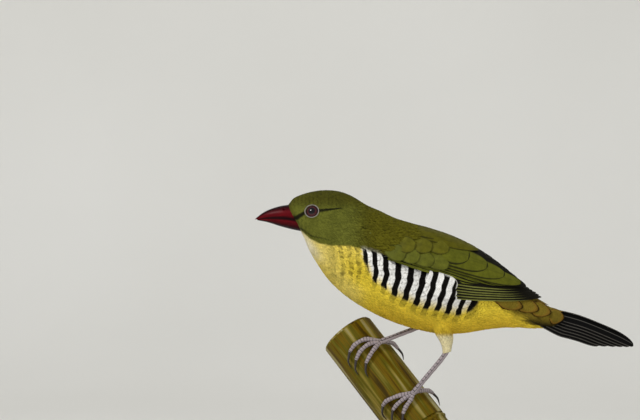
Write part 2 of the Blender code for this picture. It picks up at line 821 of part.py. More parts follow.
def make_base():
    bpy.ops.mesh.primitive_cylinder_add(vertices=48, radius=BASE_RADIUS * MM, depth=BASE_HEIGHT * MM,
                                        location=(0, 0, BASE_HEIGHT * MM / 2))
    base = bpy.context.object
    base.name = "stand_base"
    edge = base.modifiers.new("Edge", "BEVEL")
    edge.width = BASE_EDGE * MM
    edge.segments = 1
    edge.limit_method = "ANGLE"
    return base


def make_rod(name, along):
    """An upright rod with a small foot, cut off under the stem."""
    foot = STEM_POINT + stem_axis() * along
    floor = BASE_HEIGHT + GAP
    profile = [(0.0, foot.z), (ROD_RADIUS, foot.z), (ROD_RADIUS, floor + ROD_FOOT_HEIGHT),
               (ROD_FOOT, floor + ROD_FOOT_HEIGHT * 0.7), (ROD_FOOT, floor), (0.0, floor)]
    work = bmesh.new()
    points = [work.verts.new((radius * MM, 0.0, high * MM)) for radius, high in profile]
    for start, end in zip(points, points[1:]):
        work.edges.new((start, end))
    mesh = bpy.data.meshes.new(name)
    work.to_mesh(mesh)
    work.free()
    rod = mesh_object("stand_rod_" + name, mesh)
    turned = rod.modifiers.new("Turned", "SCREW")
    turned.steps = 20
    turned.render_steps = 20
    turned.use_merge_vertices = True
    turned.merge_threshold = 0.00001
    rod.location = (foot.x * MM, foot.y * MM, 0.0)
    cut(rod, [stem_body("stem_clearance", GAP)])
    return rod


def main():
    clear_scene()
    home = collection(MODEL)
    olive = material("olive_plumage", (0.105, 0.125, 0.022), 0.75)
    yellow = material("yellow_plumage", (0.60, 0.42, 0.045), 0.75)
    wing_olive = material("wing_feathers", (0.08, 0.085, 0.02), 0.6)
    black = material("tail_feathers", (0.012, 0.011, 0.009), 0.55)
    crimson = material("crimson_bill", (0.20, 0.008, 0.016), 0.3)
    iris = material("eye_gloss", (0.02, 0.006, 0.006), 0.08)
    cream = material("thigh_plumage", (0.72, 0.62, 0.36), 0.8)
    horn = material("leg_skin", (0.27, 0.22, 0.20), 0.55)
    claw = material("claw_horn", (0.05, 0.04, 0.035), 0.4)
    reed = material("reed_stem", (0.25, 0.19, 0.03), 0.6)
    wood = material("stand_wood", (0.09, 0.045, 0.02), 0.4)
    steel = material("stand_steel", (0.35, 0.35, 0.36), 0.35, 1.0)

    finish(make_head(), olive, home)
    finish(make_neck(), olive, home)
    finish(make_torso(), yellow, home)
    finish(make_tail(), black, home)
    for bill in (make_bill_upper(), make_bill_lower()):
        trim_to_head(bill)
        finish(bill, crimson, home)
    for side_name, side in (("left", -1), ("right", 1)):
        finish(make_eye(side_name, side), iris, home)
        finish(make_wing(side_name, side), wing_olive, home)
        finish(make_thigh(side_name), cream, home)
        finish(make_leg(side_name), horn, home)
        for toe in TOES[side_name]:
            finish(make_claw(side_name, toe), claw, home)
    finish(stem_body("perch_stem"), reed, home)
    finish(make_base(), wood, home)
    for name, along in ROD_AT.items():
        finish(make_rod(name, along), steel, home)


main()
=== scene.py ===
"""The green avadavat, Amandava formosa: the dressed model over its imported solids.

A male bird grips a short cut length of reed stem on a plain turned stand. It
faces -X, its left side is -Y, and +Z is up. Sizes in this script are
millimetres, and MM turns them into the scene's metres.
"""
import math
from functools import partial

import bmesh
import bpy
import numpy as np
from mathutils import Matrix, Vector


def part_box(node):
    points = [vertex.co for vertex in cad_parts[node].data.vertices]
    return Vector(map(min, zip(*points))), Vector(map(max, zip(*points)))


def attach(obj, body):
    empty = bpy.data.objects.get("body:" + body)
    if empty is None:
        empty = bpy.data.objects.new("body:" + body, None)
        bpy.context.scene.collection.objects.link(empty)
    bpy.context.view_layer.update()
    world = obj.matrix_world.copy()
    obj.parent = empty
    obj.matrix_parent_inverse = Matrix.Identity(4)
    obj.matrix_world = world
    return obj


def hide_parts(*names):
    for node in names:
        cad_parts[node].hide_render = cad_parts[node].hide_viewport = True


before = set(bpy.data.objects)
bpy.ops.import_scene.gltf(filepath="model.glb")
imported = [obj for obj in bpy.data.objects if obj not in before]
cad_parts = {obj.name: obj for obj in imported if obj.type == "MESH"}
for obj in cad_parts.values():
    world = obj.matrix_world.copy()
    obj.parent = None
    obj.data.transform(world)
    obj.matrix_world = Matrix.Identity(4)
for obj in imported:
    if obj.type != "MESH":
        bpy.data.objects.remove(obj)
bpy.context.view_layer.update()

MM = 0.001
# The small gap that toes, claws and the wing's arm keep to what they rest on, as the solids do.
GAP = 0.3
SEED = 7
# The model's two sides. The bird's left side is built, and its right side mirrors it.
SIDES = {"left": 1.0, "right": -1.0}

# The plate's viewpoint: level, at this x and z, and this far from the bird's middle plane.
VIEW_CENTRE = (-23.4, 79.0)
VIEW_DISTANCE = 462.2

# The body's sections from the bill's root to the tail's root, as in the solids:
# top point (x, z), bottom point (x, z) and half width of each ellipse.
SECTIONS = np.array([
    (-31.6, 80.7, -28.6, 73.6, 3.3), (-30.4, 82.2, -27.6, 71.4, 4.7),
    (-28.0, 83.3, -26.4, 68.5, 5.7), (-25.0, 84.1, -25.0, 66.0, 6.4),
    (-21.5, 84.4, -23.6, 63.8, 6.8), (-18.0, 84.0, -21.9, 61.3, 7.2),
    (-14.5, 82.6, -19.6, 58.8, 7.9), (-10.5, 79.9, -16.6, 56.2, 8.8),
    (-5.5, 77.3, -12.8, 53.7, 9.6), (0.0, 75.5, -8.4, 51.3, 10.0),
    (5.2, 73.8, -3.4, 49.2, 10.1), (10.4, 71.5, 2.0, 47.6, 9.8),
    (15.4, 68.7, 8.0, 46.5, 9.0), (20.4, 65.9, 14.2, 46.7, 7.7),
    (25.2, 62.4, 20.4, 47.7, 6.4), (30.4, 58.2, 26.8, 48.2, 5.2),
    (35.6, 54.7, 33.0, 47.9, 3.9), (39.4, 53.0, 37.0, 47.6, 3.0),
])
LAST = len(SECTIONS) - 1.0

# The lower edge of the folded wing.
WING_EDGE = np.array([(-9.5, 69.6), (-5.2, 66.8), (0.0, 65.3), (5.2, 64.0), (7.8, 62.7),
                      (10.4, 61.1), (11.6, 60.0)])
# The upper outline of back and folded wings, behind the neck.
BACK_LINE = np.array([(-10.4, 79.8), (-7.8, 78.5), (-5.2, 77.2), (-2.6, 76.3), (0.0, 75.5), (2.6, 74.9),
                      (5.2, 74.1), (7.8, 73.3), (10.4, 72.3), (13.0, 71.2), (15.6, 69.9), (18.2, 68.6),
                      (20.8, 67.3), (23.4, 66.0), (26.0, 64.0), (28.6, 61.5), (31.2, 59.0), (36.0, 55.6)])
FLANK_SWELL = 1.5
FLANK_FRONT_X = -13.0
FLANK_END_X = 12.2

# How deep the coat is, so how far the skin lies inside the solids, by section.
COAT_DEPTH = ([0, 4, 7, LAST], [0.20, 0.28, 0.38, 0.42])

EYE = (-25.5, 78.7)
EYE_RADIUS = 2.1
EYE_PROUD = 0.42
LID_RING = 1.72
LID_THICK = 0.115
LID_BEADS = 28

BILL_TIP = (-40.3, 76.6)
CULMEN = [(-32.0, 80.3), (-33.8, 80.0), (-36.4, 79.2), (-38.5, 78.1)]
MOUTH_LINE = [(-30.3, 76.5), (-32.4, 76.8), (-35.2, 76.9), (-37.7, 76.8)]
UNDER_BILL = [(-28.9, 73.6), (-31.2, 74.1), (-33.8, 74.8), (-37.0, 75.8)]
LOWER_TIP = (-39.7, 76.1)
BILL_HALF_WIDTHS = [2.75, 2.55, 1.95, 1.15]
NOSTRIL = (-32.7, 79.1)

TAIL_RIDGE = [(33.8, 54.2), (39.0, 52.9), (44.2, 51.5), (49.4, 49.5), (54.6, 47.2), (58.1, 45.3)]
TAIL_PAIRS = 6
TAIL_ROOF = math.radians(54)
TAIL_FEATHER_WIDTH = 3.5
TAIL_FEATHER_LENGTH = 20.0
TAIL_STEP_DOWN = 0.78
TAIL_STEP_IN = 0.3
TAIL_STEP_SHORT = 0.08

STEM_POINT = np.array([-6.27, 5.4, 33.4])
STEM_LEAN = np.array([-0.62, 0.0, 0.785]) / math.hypot(0.62, 0.785)
STEM_RECEDES = math.radians(20)
STEM_RADIUS = 7.5
STEM_LOW = -20.0
STEM_HIGH = 17.0
# The reed's bare skin and the wall of its hollow, its node ring and where its sheath starts.
REED_SKIN = 7.12
REED_HOLLOW = 5.15
HOLLOW_DEPTH = 2.4
NODE_RING = -16.2
SHEATH_START = -15.3

TOE_BASE = {"left": (-8.5, 31), "right": (7.9, 44)}
TOES = {
    "left": {
        "inner": [(-7.1, 10), (-6.0, -14), (-6.2, -28), (-9.2, -42)],
        "middle": [(-8.4, 12), (-8.5, -5), (-8.9, -18), (-12.2, -34)],
        "outer": [(-9.6, 20), (-10.4, 5), (-11.4, -7), (-14.4, -20)],
        "hind": [(-8.8, 48), (-9.4, 70), (-10.0, 90), (-13.4, 103)],
    },
    "right": {
        "inner": [(7.2, 27), (6.2, 10), (5.2, -4), (2.0, -17)],
        "middle": [(8.9, 22), (8.7, 2), (7.6, -15), (4.4, -31)],
        "outer": [(10.4, 24), (11.0, 3), (10.4, -15), (7.2, -34)],
        "hind": [(7.2, 60), (6.6, 78), (5.4, 92), (2.4, 107)],
    },
}
HEEL = {"left": np.array([9.2, -5.4, 42.4]), "right": np.array([3.2, 6.0, 48.4])}
THIGH_TOP = {"left": np.array([6.9, -3.7, 51.0]), "right": np.array([6.4, 5.6, 52.5])}
THIGH_RADIUS = {"left": 2.7, "right": 2.4}
HEEL_RADIUS = 1.2
TOE_RADIUS = 0.55
CLAW_RADIUS = 0.42
SCUTE_LENGTH = 1.15
TOE_SCUTE_LENGTH = 0.78

BASE_RADIUS = 38.0
BASE_HEIGHT = 8.0
BASE_ROUND = 2.9
ROD_RADIUS = 2.0
ROD_FOOT = 4.2
ROD_FOOT_HEIGHT = 1.6
ROD_AT = {"lower": -17.0, "upper": -3.5}


# Shapes in numbers

def soft(low, high, value):
    """0 below low, 1 above high, and a smooth step between."""
    share = np.clip((value - low) / (high - low), 0.0, 1.0)
    return share * share * (3.0 - 2.0 * share)


def mix(start, end, share):
    """Start at share 0 and end at share 1."""
    return start + (end - start) * share


def unit(vectors):
    """Vectors made one long."""
    return vectors / np.linalg.norm(vectors, axis=-1, keepdims=True)


def smooth_rows(rows, places):
    """Reads a smooth curve through rows of numbers, at places counted in rows."""
    rows = np.asarray(rows, float)
    places = np.asarray(places, float)
    last = len(rows) - 1
    index = np.clip(np.floor(places).astype(int), 0, last - 1)
    share = (places - index)[..., None]
    before, here = rows[np.maximum(index - 1, 0)], rows[index]
    after, beyond = rows[index + 1], rows[np.minimum(index + 2, last)]
    return 0.5 * (2 * here + (after - before) * share
                  + (2 * before - 5 * here + 4 * after - beyond) * share ** 2
                  + (3 * here - before - 3 * after + beyond) * share ** 3)


def full_turn(count):
    """So many angles evenly round a circle."""
    return np.linspace(0, 2 * math.pi, count, endpoint=False)


def pairings(first, second):
    """Every pairing of two rows of numbers, as two long rows."""
    return [part.ravel() for part in np.meshgrid(first, second, indexing="ij")]


def run_along(path):
    """How far along a path each of its points lies."""
    return np.concatenate([[0], np.cumsum(np.linalg.norm(np.diff(path, axis=0), axis=1))])


def along_line(line, x):
    """A line's second number where its first is x."""
    line = np.asarray(line)
    return np.interp(x, line[:, 0], line[:, 1])


def body_points(place, angle, flank=True):
    """Points on the body: angle 0 is the back, +90 degrees the left side, 180 the belly."""
    top_x, top_z, low_x, low_z, half = np.moveaxis(smooth_rows(SECTIONS, place), -1, 0)
    x = (top_x + low_x) / 2 + (top_x - low_x) / 2 * np.cos(angle)
    z = (top_z + low_z) / 2 + (top_z - low_z) / 2 * np.cos(angle)
    if flank:
        swell = soft(0.3, 2.3, along_line(WING_EDGE, x) - z) * soft(49.0, 58.0, z)
        swell = swell * soft(-FLANK_END_X, 1.6 - FLANK_END_X, -x)
        half = half + FLANK_SWELL * swell * soft(FLANK_FRONT_X, FLANK_FRONT_X + 9.0, x)
    return np.stack([x, -half * np.sin(angle), z], -1)


def body_middle(place):
    """Points on the body's middle line."""
    top_x, top_z, low_x, low_z, _ = np.moveaxis(smooth_rows(SECTIONS, place), -1, 0)
    return np.stack([(top_x + low_x) / 2, 0 * top_x, (top_z + low_z) / 2], -1)


def body_normals(place, angle, flank=True):
    """Directions straight out of the body."""
    step = 0.02
    along = body_points(place + step, angle, flank) - body_points(place - step, angle, flank)
    around = body_points(place, angle + step, flank) - body_points(place, angle - step, flank)
    normal = unit(np.cross(along, around))
    out = body_points(place, angle, flank) - body_middle(place)
    return normal * np.sign((normal * out).sum(-1, keepdims=True))


def skin_points(place, angle):
    """Points on the skin, inside the body's outline by the coat's depth, and straight on past its end."""
    inside = np.minimum(place, LAST)
    depth = np.interp(inside, *COAT_DEPTH)[..., None]
    skin = body_points(inside, angle) - body_normals(inside, angle) * depth
    step = 0.02
    onward = (body_points(inside, angle) - body_points(inside - step, angle)) / step
    return skin + onward * (place - inside)[..., None]


def as_seen(points):
    """Where points of either side show in the plate, as (x, z) on the middle plane."""
    near = VIEW_DISTANCE / (VIEW_DISTANCE - np.abs(points[:, 1]))
    return (VIEW_CENTRE[0] + (points[:, 0] - VIEW_CENTRE[0]) * near,
            VIEW_CENTRE[1] + (points[:, 2] - VIEW_CENTRE[1]) * near)


def seen(x, z):
    """The places and angles on the body of points seen from the left side."""
    target = np.stack([x, z], -1)

    def offset(place):
        row = smooth_rows(SECTIONS, place)
        middle, up = (row[..., 0:2] + row[..., 2:4]) / 2, (row[..., 0:2] - row[..., 2:4]) / 2
        off = target - middle
        return off[..., 1] * up[..., 0] - off[..., 0] * up[..., 1], off, up

    low, high = np.zeros(len(x)), np.full(len(x), LAST)
    sign = offset(low)[0] > 0
    for _ in range(34):
        half_way = (low + high) / 2
        same = (offset(half_way)[0] > 0) == sign
        low, high = np.where(same, half_way, low), np.where(same, high, half_way)
    _, off, up = offset(low)
    share = (off * up).sum(-1) / (up * up).sum(-1)
    return low, np.arccos(np.clip(share, -1.0, 1.0))


def seen_over(x, z, lift):
    """Where to stand on the body for points lifted off it to show at (x, z)."""
    guess_x, guess_z = x.copy(), z.copy()
    for _ in range(6):
        place, angle = seen(guess_x, guess_z)
        point = body_points(place, angle, False) + body_normals(place, angle, False) * lift[:, None]
        shown_x, shown_z = as_seen(point)
        guess_x += (x - shown_x) * 0.8
        guess_z += (z - shown_z) * 0.8
    return place, angle


def wing_swell(x):
    """How much of a wing feather's height over the body it has at x: less at the wing's front."""
    return mix(0.6, 1.0, soft(-9.0, 10.0, x))


def kept_under(points, normals, height):
    """Heights over the body, pressed down where they would rise over the back's outline."""
    room = (along_line(BACK_LINE, points[..., 0]) - points[..., 2]) / np.maximum(normals[..., 2], 0.2)
    room = np.maximum(room, 0.4)
    pressed = (height ** -3.0 + room ** -3.0) ** (-1 / 3)
    return mix(height, pressed, soft(0.1, 0.35, normals[..., 2]))


def beside(place, angle, offset):
    """The places and angles reached from spots on the left side by short ways along the body."""
    step = 0.01
    here = body_points(place, angle, False)
    along = (body_points(place + step, angle, False) - here) / step
    around = (body_points(place, angle + step, False) - here) / step
    aa, ab, bb = (along * along).sum(-1), (along * around).sum(-1), (around * around).sum(-1)
    oa, ob = (offset * along).sum(-1), (offset * around).sum(-1)
    spread = aa * bb - ab * ab
    return place + (oa * bb - ob * ab) / spread, angle + (ob * aa - oa * ab) / spread


# Meshes

def grid_faces(rows, columns, wrapped=False):
    """Quads between rows of points, each row closed on itself if wrapped."""
    span = columns if wrapped else columns - 1
    row, column = np.meshgrid(np.arange(rows - 1), np.arange(span), indexing="ij")
    here = row * columns + column
    beyond = row * columns + (column + 1) % columns
    return np.stack([here, beyond, beyond + columns, here + columns], -1).reshape(-1, 4).tolist()


def tube_faces(rows, columns):
    """A tube's walls and its two flat ends."""
    first = list(range(columns))
    last = [(rows - 1) * columns + index for index in range(columns)]
    return grid_faces(rows, columns, True) + [first[::-1], last]


def joined(parts):
    """Joins parts, each its points, faces and numbers, into one."""
    points, faces, numbers, start = [], [], {}, 0
    for part_points, part_faces, part_numbers in parts:
        points.append(part_points)
        faces += [[index + start for index in face] for face in part_faces]
        start += len(part_points)
        for name, values in part_numbers.items():
            numbers.setdefault(name, []).append(values)
    return np.concatenate(points), faces, {name: np.concatenate(rows) for name, rows in numbers.items()}


def keep_numbers(mesh, numbers):
    """Keeps named numbers for each point of a mesh."""
    kinds = {1: ("FLOAT", "value"), 3: ("FLOAT_VECTOR", "vector"), 4: ("FLOAT_COLOR", "color")}
    for name, values in numbers.items():
        values = np.asarray(values, np.float32)
        kind, field = kinds[1 if values.ndim == 1 else values.shape[1]]
        layer = mesh.attributes.get(name) or mesh.attributes.new(name, kind, "POINT")
        layer.data.foreach_set(field, values.ravel())


def read_numbers(mesh, name):
    """The numbers that a mesh keeps for its points under a name."""
    layer = mesh.attributes[name]
    field = {"FLOAT": "value", "FLOAT_VECTOR": "vector", "FLOAT_COLOR": "color"}[layer.data_type]
    size = {"value": 1, "vector": 3, "color": 4}[field]
    values = np.zeros(len(mesh.vertices) * size, np.float32)
    layer.data.foreach_get(field, values)
    return values.reshape(-1, size)


def read_points(mesh):
    """A mesh's points in millimetres."""
    values = np.zeros(len(mesh.vertices) * 3, np.float32)
    mesh.vertices.foreach_get("co", values)
    return values.reshape(-1, 3) / MM


def keep_bake_map(mesh):
    """Makes the UV map for baking from the patch numbers of a mesh's points."""
    corners = np.zeros(len(mesh.loops), np.int32)
    mesh.loops.foreach_get("vertex_index", corners)
    layer = mesh.uv_layers.new(name="OFBake")
    layer.data.foreach_set("uv", read_numbers(mesh, "patch")[corners, :2].ravel())
    mesh.attributes.remove(mesh.attributes["patch"])


def new_object(name, mesh):
    """An object in the scene for a mesh."""
    made = bpy.data.objects.new(name, mesh)
    bpy.context.scene.collection.objects.link(made)
    return made


def shape(name, points, faces=None, numbers=None):
    """A closed mesh object from points in millimetres, with its faces turned outwards. Points in
    rings make a tube with flat ends."""
    faces = faces or tube_faces(*points.shape[:2])
    mesh = bpy.data.meshes.new(name)
    mesh.from_pydata((points.reshape(-1, 3) * MM).tolist(), [], faces)
    keep_numbers(mesh, numbers or {})
    work = bmesh.new()
    work.from_mesh(mesh)
    bmesh.ops.recalc_face_normals(work, faces=work.faces)
    work.to_mesh(mesh)
    work.free()
    return new_object(name, mesh)


def finish_piece(piece, paint, slot, *nodes, sharp=50):
    """Gives a piece its material and its body, and hides the nodes that it stands for. slot is not used."""
    piece.data.materials.clear()
    piece.data.materials.append(paint)
    piece.data.shade_smooth()
    piece.data.set_sharp_from_angle(angle=math.radians(sharp))
    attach(piece, "root")
    if nodes:
        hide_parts(*nodes)
    return piece


def united(piece, others):
    """Joins closed meshes to a piece and removes them."""
    for other in others:
        change = piece.modifiers.new("Joined", "BOOLEAN")
        change.operation = "UNION"
        change.object = other
        change.solver = "MANIFOLD"
    live = piece.evaluated_get(bpy.context.evaluated_depsgraph_get())
    mesh = bpy.data.meshes.new_from_object(live)
    piece.modifiers.clear()
    piece.data = mesh
    for other in others:
        bpy.data.objects.remove(other, do_unlink=True)


def rings_round(path, sides, flat=1.0):
    """Directions in rings round a path, without twist, flattened one way."""
    ahead = unit(np.gradient(path, axis=0))
    start = np.array([0.0, 1.0, 0.0]) if abs(ahead[0][1]) < 0.9 else np.array([1.0, 0.0, 0.0])
    side = []
    for direction in ahead:
        start = unit(start - direction * (start @ direction))
        side.append(start)
    side = np.array(side)
    up = np.cross(ahead, side)
    turn = full_turn(sides)
    return side[:, None] * np.cos(turn)[None, :, None] + up[:, None] * np.sin(turn)[None, :, None] * flat


def through(points, count):
    """Count points along a smooth curve through a few."""
    return smooth_rows(np.array(points), np.linspace(0, len(points) - 1, count))


# Materials

def hex_colour(text):
    """An sRGB hex colour as linear RGBA."""
    parts = [int(text[index:index + 2], 16) / 255 for index in (1, 3, 5)]
    return (*[part / 12.92 if part <= 0.04045 else ((part + 0.055) / 1.055) ** 2.4
              for part in parts], 1.0)


def rgb(text):
    """An sRGB hex colour as three linear numbers."""
    return np.array(hex_colour(text)[:3])


def wire(tree, kind, sockets=None, output=0, **settings):
    """Adds a node with its settings, fills or links its sockets, and gives one output."""
    made = tree.nodes.new(kind)
    for key, value in settings.items():
        setattr(made, key, value)
    for key, value in (sockets or {}).items():
        if isinstance(value, bpy.types.NodeSocket):
            tree.links.new(value, made.inputs[key])
        else:
            made.inputs[key].default_value = value
    return made.outputs[output] if len(made.outputs) else made


def new_paint(name, **sockets):
    """A material with one Principled shader, whose plain sockets are set here, and wire for its tree."""
    paint = bpy.data.materials.new(name)
    paint.use_nodes = True
    shader = paint.node_tree.nodes["Principled BSDF"]
    for key, value in sockets.items():
        shader.inputs[key.replace("_", " ")].default_value = value
    return paint, partial(wire, paint.node_tree)


def surfaced(paint, colour, height=None, strength=0.0, depth=0.0):
    """Links a material's colour, and its fine relief with a depth in millimetres."""
    tree = paint.node_tree
    ends = tree.nodes["Principled BSDF"].inputs
    tree.links.new(colour, ends["Base Color"])
    if height is not None:
        relief = wire(tree, "ShaderNodeBump", {"Strength": strength, "Distance": depth * MM,
                                               "Height": height})
        tree.links.new(relief, ends["Normal"])
    return paint


def three_numbers(add, name):
    """The three numbers that a mesh keeps for each point under a name."""
    vector = add("ShaderNodeAttribute", output="Vector", attribute_name=name)
    return add("ShaderNodeSeparateXYZ", {0: vector}).node.outputs


def barb_lines(add, run, side, slope, beats):
    """How far a point lies from its feather's shaft, and the ripple of barbs that slant from it."""
    across = add("ShaderNodeMath", {0: side}, operation="ABSOLUTE")
    slant = add("ShaderNodeMath", {0: across, 1: slope, 2: run}, operation="MULTIPLY_ADD")
    beat = add("ShaderNodeMath", {0: slant, 1: beats}, operation="MULTIPLY")
    return across, add("ShaderNodeMath", {0: beat}, operation="SINE")


def varied(add, base, value, reach, strength):
    """Scales a colour from the first strength to the second as a value crosses its reach."""
    share = add("ShaderNodeMapRange", {"Value": value, "From Min": reach[0], "From Max": reach[1],
                                       "To Min": strength[0], "To Max": strength[1]})
    return add("ShaderNodeVectorMath", {0: base, "Scale": share}, operation="SCALE")


def laid_over(add, base, colour, value, start, full, *strengths):
    """Lays a colour over another as a value goes from start to full."""
    share = add("ShaderNodeMapRange", {"Value": value, "From Min": start, "From Max": full},
                interpolation_type="SMOOTHSTEP")
    for strength in strengths:
        share = add("ShaderNodeMath", {0: share, 1: strength}, operation="MULTIPLY")
    return add("ShaderNodeMix", {0: share, 6: base, 7: colour}, output=2, data_type="RGBA")


def grained(add, scale, detail, dark, pale):
    """A grain, and its colour from dark to pale. scale is how often it repeats in a metre, by axis."""
    place = add("ShaderNodeTexCoord", output="Object")
    stretch = add("ShaderNodeMapping", {"Vector": place, "Scale": scale})
    grain = add("ShaderNodeTexNoise", {"Vector": stretch, "Scale": 1.0, "Detail": detail})
    return grain, add("ShaderNodeMix", {0: grain, 6: hex_colour(dark), 7: hex_colour(pale)}, output=2,
                      data_type="RGBA")


def plumage_paint():
    """Body feathers: soft keratin vanes, quite matt. Fine barbs run out from each shaft, the
    tail's coverts have rusty edges with a dark rim, and black bars cross the flanks."""
    paint, add = new_paint("avadavat plumage", Roughness=0.75, Specular_IOR_Level=0.06)
    along, side, _ = three_numbers(add, "blade")
    count, barred, rimmed = three_numbers(add, "mark")
    plume = add("ShaderNodeAttribute", output="Color", attribute_name="plume")
    place = add("ShaderNodeTexCoord", output="Object")

    # Soft unevenness of the coat, about 3 mm and 0.5 mm across.
    broad = add("ShaderNodeTexNoise", {"Vector": place, "Scale": 330.0, "Detail": 2.0})
    fine = add("ShaderNodeTexNoise", {"Vector": place, "Scale": 2100.0, "Detail": 1.0})
    both = add("ShaderNodeMath", {0: broad, 1: fine}, operation="ADD")
    base = varied(add, plume, both, (0.7, 1.3), (0.8, 1.2))

    # Barbs slant from the shaft to the tip. They are drawn about 0.2 mm apart to show.
    across, barbs = barb_lines(add, along, side, -0.45, 62.0)
    base = varied(add, base, barbs, (-1.0, 1.0), (0.9, 1.06))

    # Rusty edges and a dark rim round the tips of the tail's coverts.
    edges = add("ShaderNodeMath", {0: across, 1: 3.0}, operation="POWER")
    end = add("ShaderNodeMath", {0: along, 1: 5.0}, operation="POWER")
    rim = add("ShaderNodeMath", {0: edges, 1: end}, operation="MAXIMUM")
    base = laid_over(add, base, hex_colour("#8A5A22"), rim, 0.2, 0.5, rimmed, 0.4)
    dark = add("ShaderNodeVectorMath", {0: base, "Scale": 0.22}, operation="SCALE")
    base = laid_over(add, base, dark, rim, 0.66, 0.84, rimmed)

    # Bars: the mark counts them along the flank, and they are half a spacing wide.
    beat = count
    for operation, number in (("ADD", 0.5), ("FRACT", 0.0), ("SUBTRACT", 0.5), ("ABSOLUTE", 0.0)):
        beat = add("ShaderNodeMath", {0: beat, 1: number}, operation=operation)
    base = laid_over(add, base, hex_colour("#0E0C09"), beat, 0.28, 0.22, barred)

    height = add("ShaderNodeMath", {0: barbs, 1: 0.5, 2: fine}, operation="MULTIPLY_ADD")
    return surfaced(paint, base, height, 0.35, 0.03)


def vane_paint():
    """Wing feathers: firm keratin vanes, smooth with a low silky gloss. The outer web is olive,
    the inner web black, the rim dark, and fine barbs slant from a raised dark shaft."""
    paint, add = new_paint("avadavat wing vane", Roughness=0.6, Specular_IOR_Level=0.08)
    along, side, left = three_numbers(add, "blade")
    border, rimmed, strength = three_numbers(add, "web")
    plume = add("ShaderNodeAttribute", output="Color", attribute_name="plume")
    place = add("ShaderNodeTexCoord", output="Object")
    broad = add("ShaderNodeTexNoise", {"Vector": place, "Scale": 700.0, "Detail": 5.0, "Roughness": 0.65})
    base = varied(add, plume, broad, (0.3, 0.7), (0.74, 1.22))
    across, barbs = barb_lines(add, left, side, *VANE_BARBS)
    base = varied(add, base, barbs, (-1.0, 1.0), (0.93, 1.05))

    # The inner web is black up to a border, which nears the edge at the tip.
    tip = add("ShaderNodeMath", {0: along, 1: 4.0}, operation="POWER")
    tip = add("ShaderNodeMath", {0: tip, 1: 0.4, 2: border}, operation="MULTIPLY_ADD")
    inner = add("ShaderNodeMath", {0: tip, 1: side}, operation="SUBTRACT")
    base = laid_over(add, base, hex_colour("#15130B"), inner, -0.05, 0.05)

    # Dark rims along the edges and round the tip, and a fainter line along the shaft.
    edge = add("ShaderNodeMath", {0: across, 1: rimmed}, operation="MULTIPLY")
    edge = add("ShaderNodeMapRange", {"Value": edge, "From Min": 0.8, "From Max": 0.92},
               interpolation_type="SMOOTHSTEP")
    end = add("ShaderNodeMapRange", {"Value": left, "From Min": 0.42, "From Max": 0.2},
              interpolation_type="SMOOTHSTEP")
    rim = add("ShaderNodeMath", {0: edge, 1: end}, operation="MAXIMUM")
    shaft = add("ShaderNodeMapRange", {"Value": across, "From Min": 0.09, "From Max": 0.05})
    lines = add("ShaderNodeMath", {0: shaft, 1: 0.15}, operation="MULTIPLY")
    lines = add("ShaderNodeMath", {0: lines, 1: rim}, operation="MAXIMUM")
    lines = add("ShaderNodeMath", {0: lines, 1: strength}, operation="MULTIPLY")
    base = add("ShaderNodeMix", {0: lines, 6: base, 7: hex_colour("#16140C")}, output=2, data_type="RGBA")
    return surfaced(paint, base, barbs, 0.3, 0.02)


def tail_paint():
    """Tail feathers: black, close-webbed keratin with a low gloss and worn, greyer edges."""
    paint, add = new_paint("avadavat tail vane", Roughness=0.55, Specular_IOR_Level=0.08)
    _, side, left = three_numbers(add, "blade")
    across, barbs = barb_lines(add, left, side, *VANE_BARBS)
    edge = add("ShaderNodeMapRange", {"Value": across, "From Min": 0.86, "From Max": 0.98},
               interpolation_type="SMOOTHSTEP")
    shaft = add("ShaderNodeMapRange", {"Value": across, "From Min": 0.08, "From Max": 0.04})
    pale = add("ShaderNodeMath", {0: edge, 1: shaft}, operation="MAXIMUM")
    pale = add("ShaderNodeMath", {0: pale, 1: 0.55}, operation="MULTIPLY")
    base = add("ShaderNodeMix", {0: pale, 6: hex_colour("#0A0908"), 7: hex_colour("#6E6A62")}, output=2,
               data_type="RGBA")
    return surfaced(paint, base, barbs, 0.3, 0.02)


def bill_paint():
    """Bill horn: smooth, slightly waxy keratin, crimson, darker along the upper ridge, with painted shade
    along the cutting edges where the mandibles meet and over the lower mandible's underside.
    """
    paint, add = new_paint("bill horn", Roughness=0.36, Coat_Weight=0.02, Coat_Roughness=0.3,
                           Specular_IOR_Level=0.07)
    _, outward, lower = three_numbers(add, "blade")
    streaks, base = grained(add, (300.0, 1500.0, 1900.0), 3.0, "#3E050B", "#720B14")
    # Painted shade: the lower mandible is dark from nearer its cutting edge, over its underside.
    start = add("ShaderNodeMapRange", {"Value": lower, "To Min": 0.5, "To Max": 0.2})
    ridge_line_and_underside_shade = add("ShaderNodeMapRange", {"Value": outward, "From Min": start, "From Max": 0.95},
                interpolation_type="SMOOTHSTEP")
    # Painted shade along the cutting edges, in the crease where the mandibles meet.
    edge = add("ShaderNodeMapRange", {"Value": outward, "From Min": 0.3, "From Max": 0.04},
               interpolation_type="SMOOTHSTEP")
    dark = add("ShaderNodeMath", {0: ridge_line_and_underside_shade, 1: edge}, operation="MAXIMUM")
    # Lays the dark ridge line and the painted shade over the crimson.
    base = add("ShaderNodeMix", {0: dark, 6: base, 7: hex_colour("#1D0306")}, output=2, data_type="RGBA")
    return surfaced(paint, base, streaks, 0.25, 0.03)


def eye_paint():
    """Eye glass: a wet, clear cornea over a dark red-brown iris and a black pupil."""
    paint, add = new_paint("eye glass", Roughness=0.04, Specular_IOR_Level=0.45)
    gaze = add("ShaderNodeAttribute", output="Fac", attribute_name="gaze")
    _, iris = grained(add, (3500.0,) * 3, 2.0, "#240709", "#56161A")
    base = laid_over(add, iris, hex_colour("#050304"), gaze, 0.44, 0.38)
    return surfaced(paint, laid_over(add, base, hex_colour("#0B0607"), gaze, 0.58, 0.72))


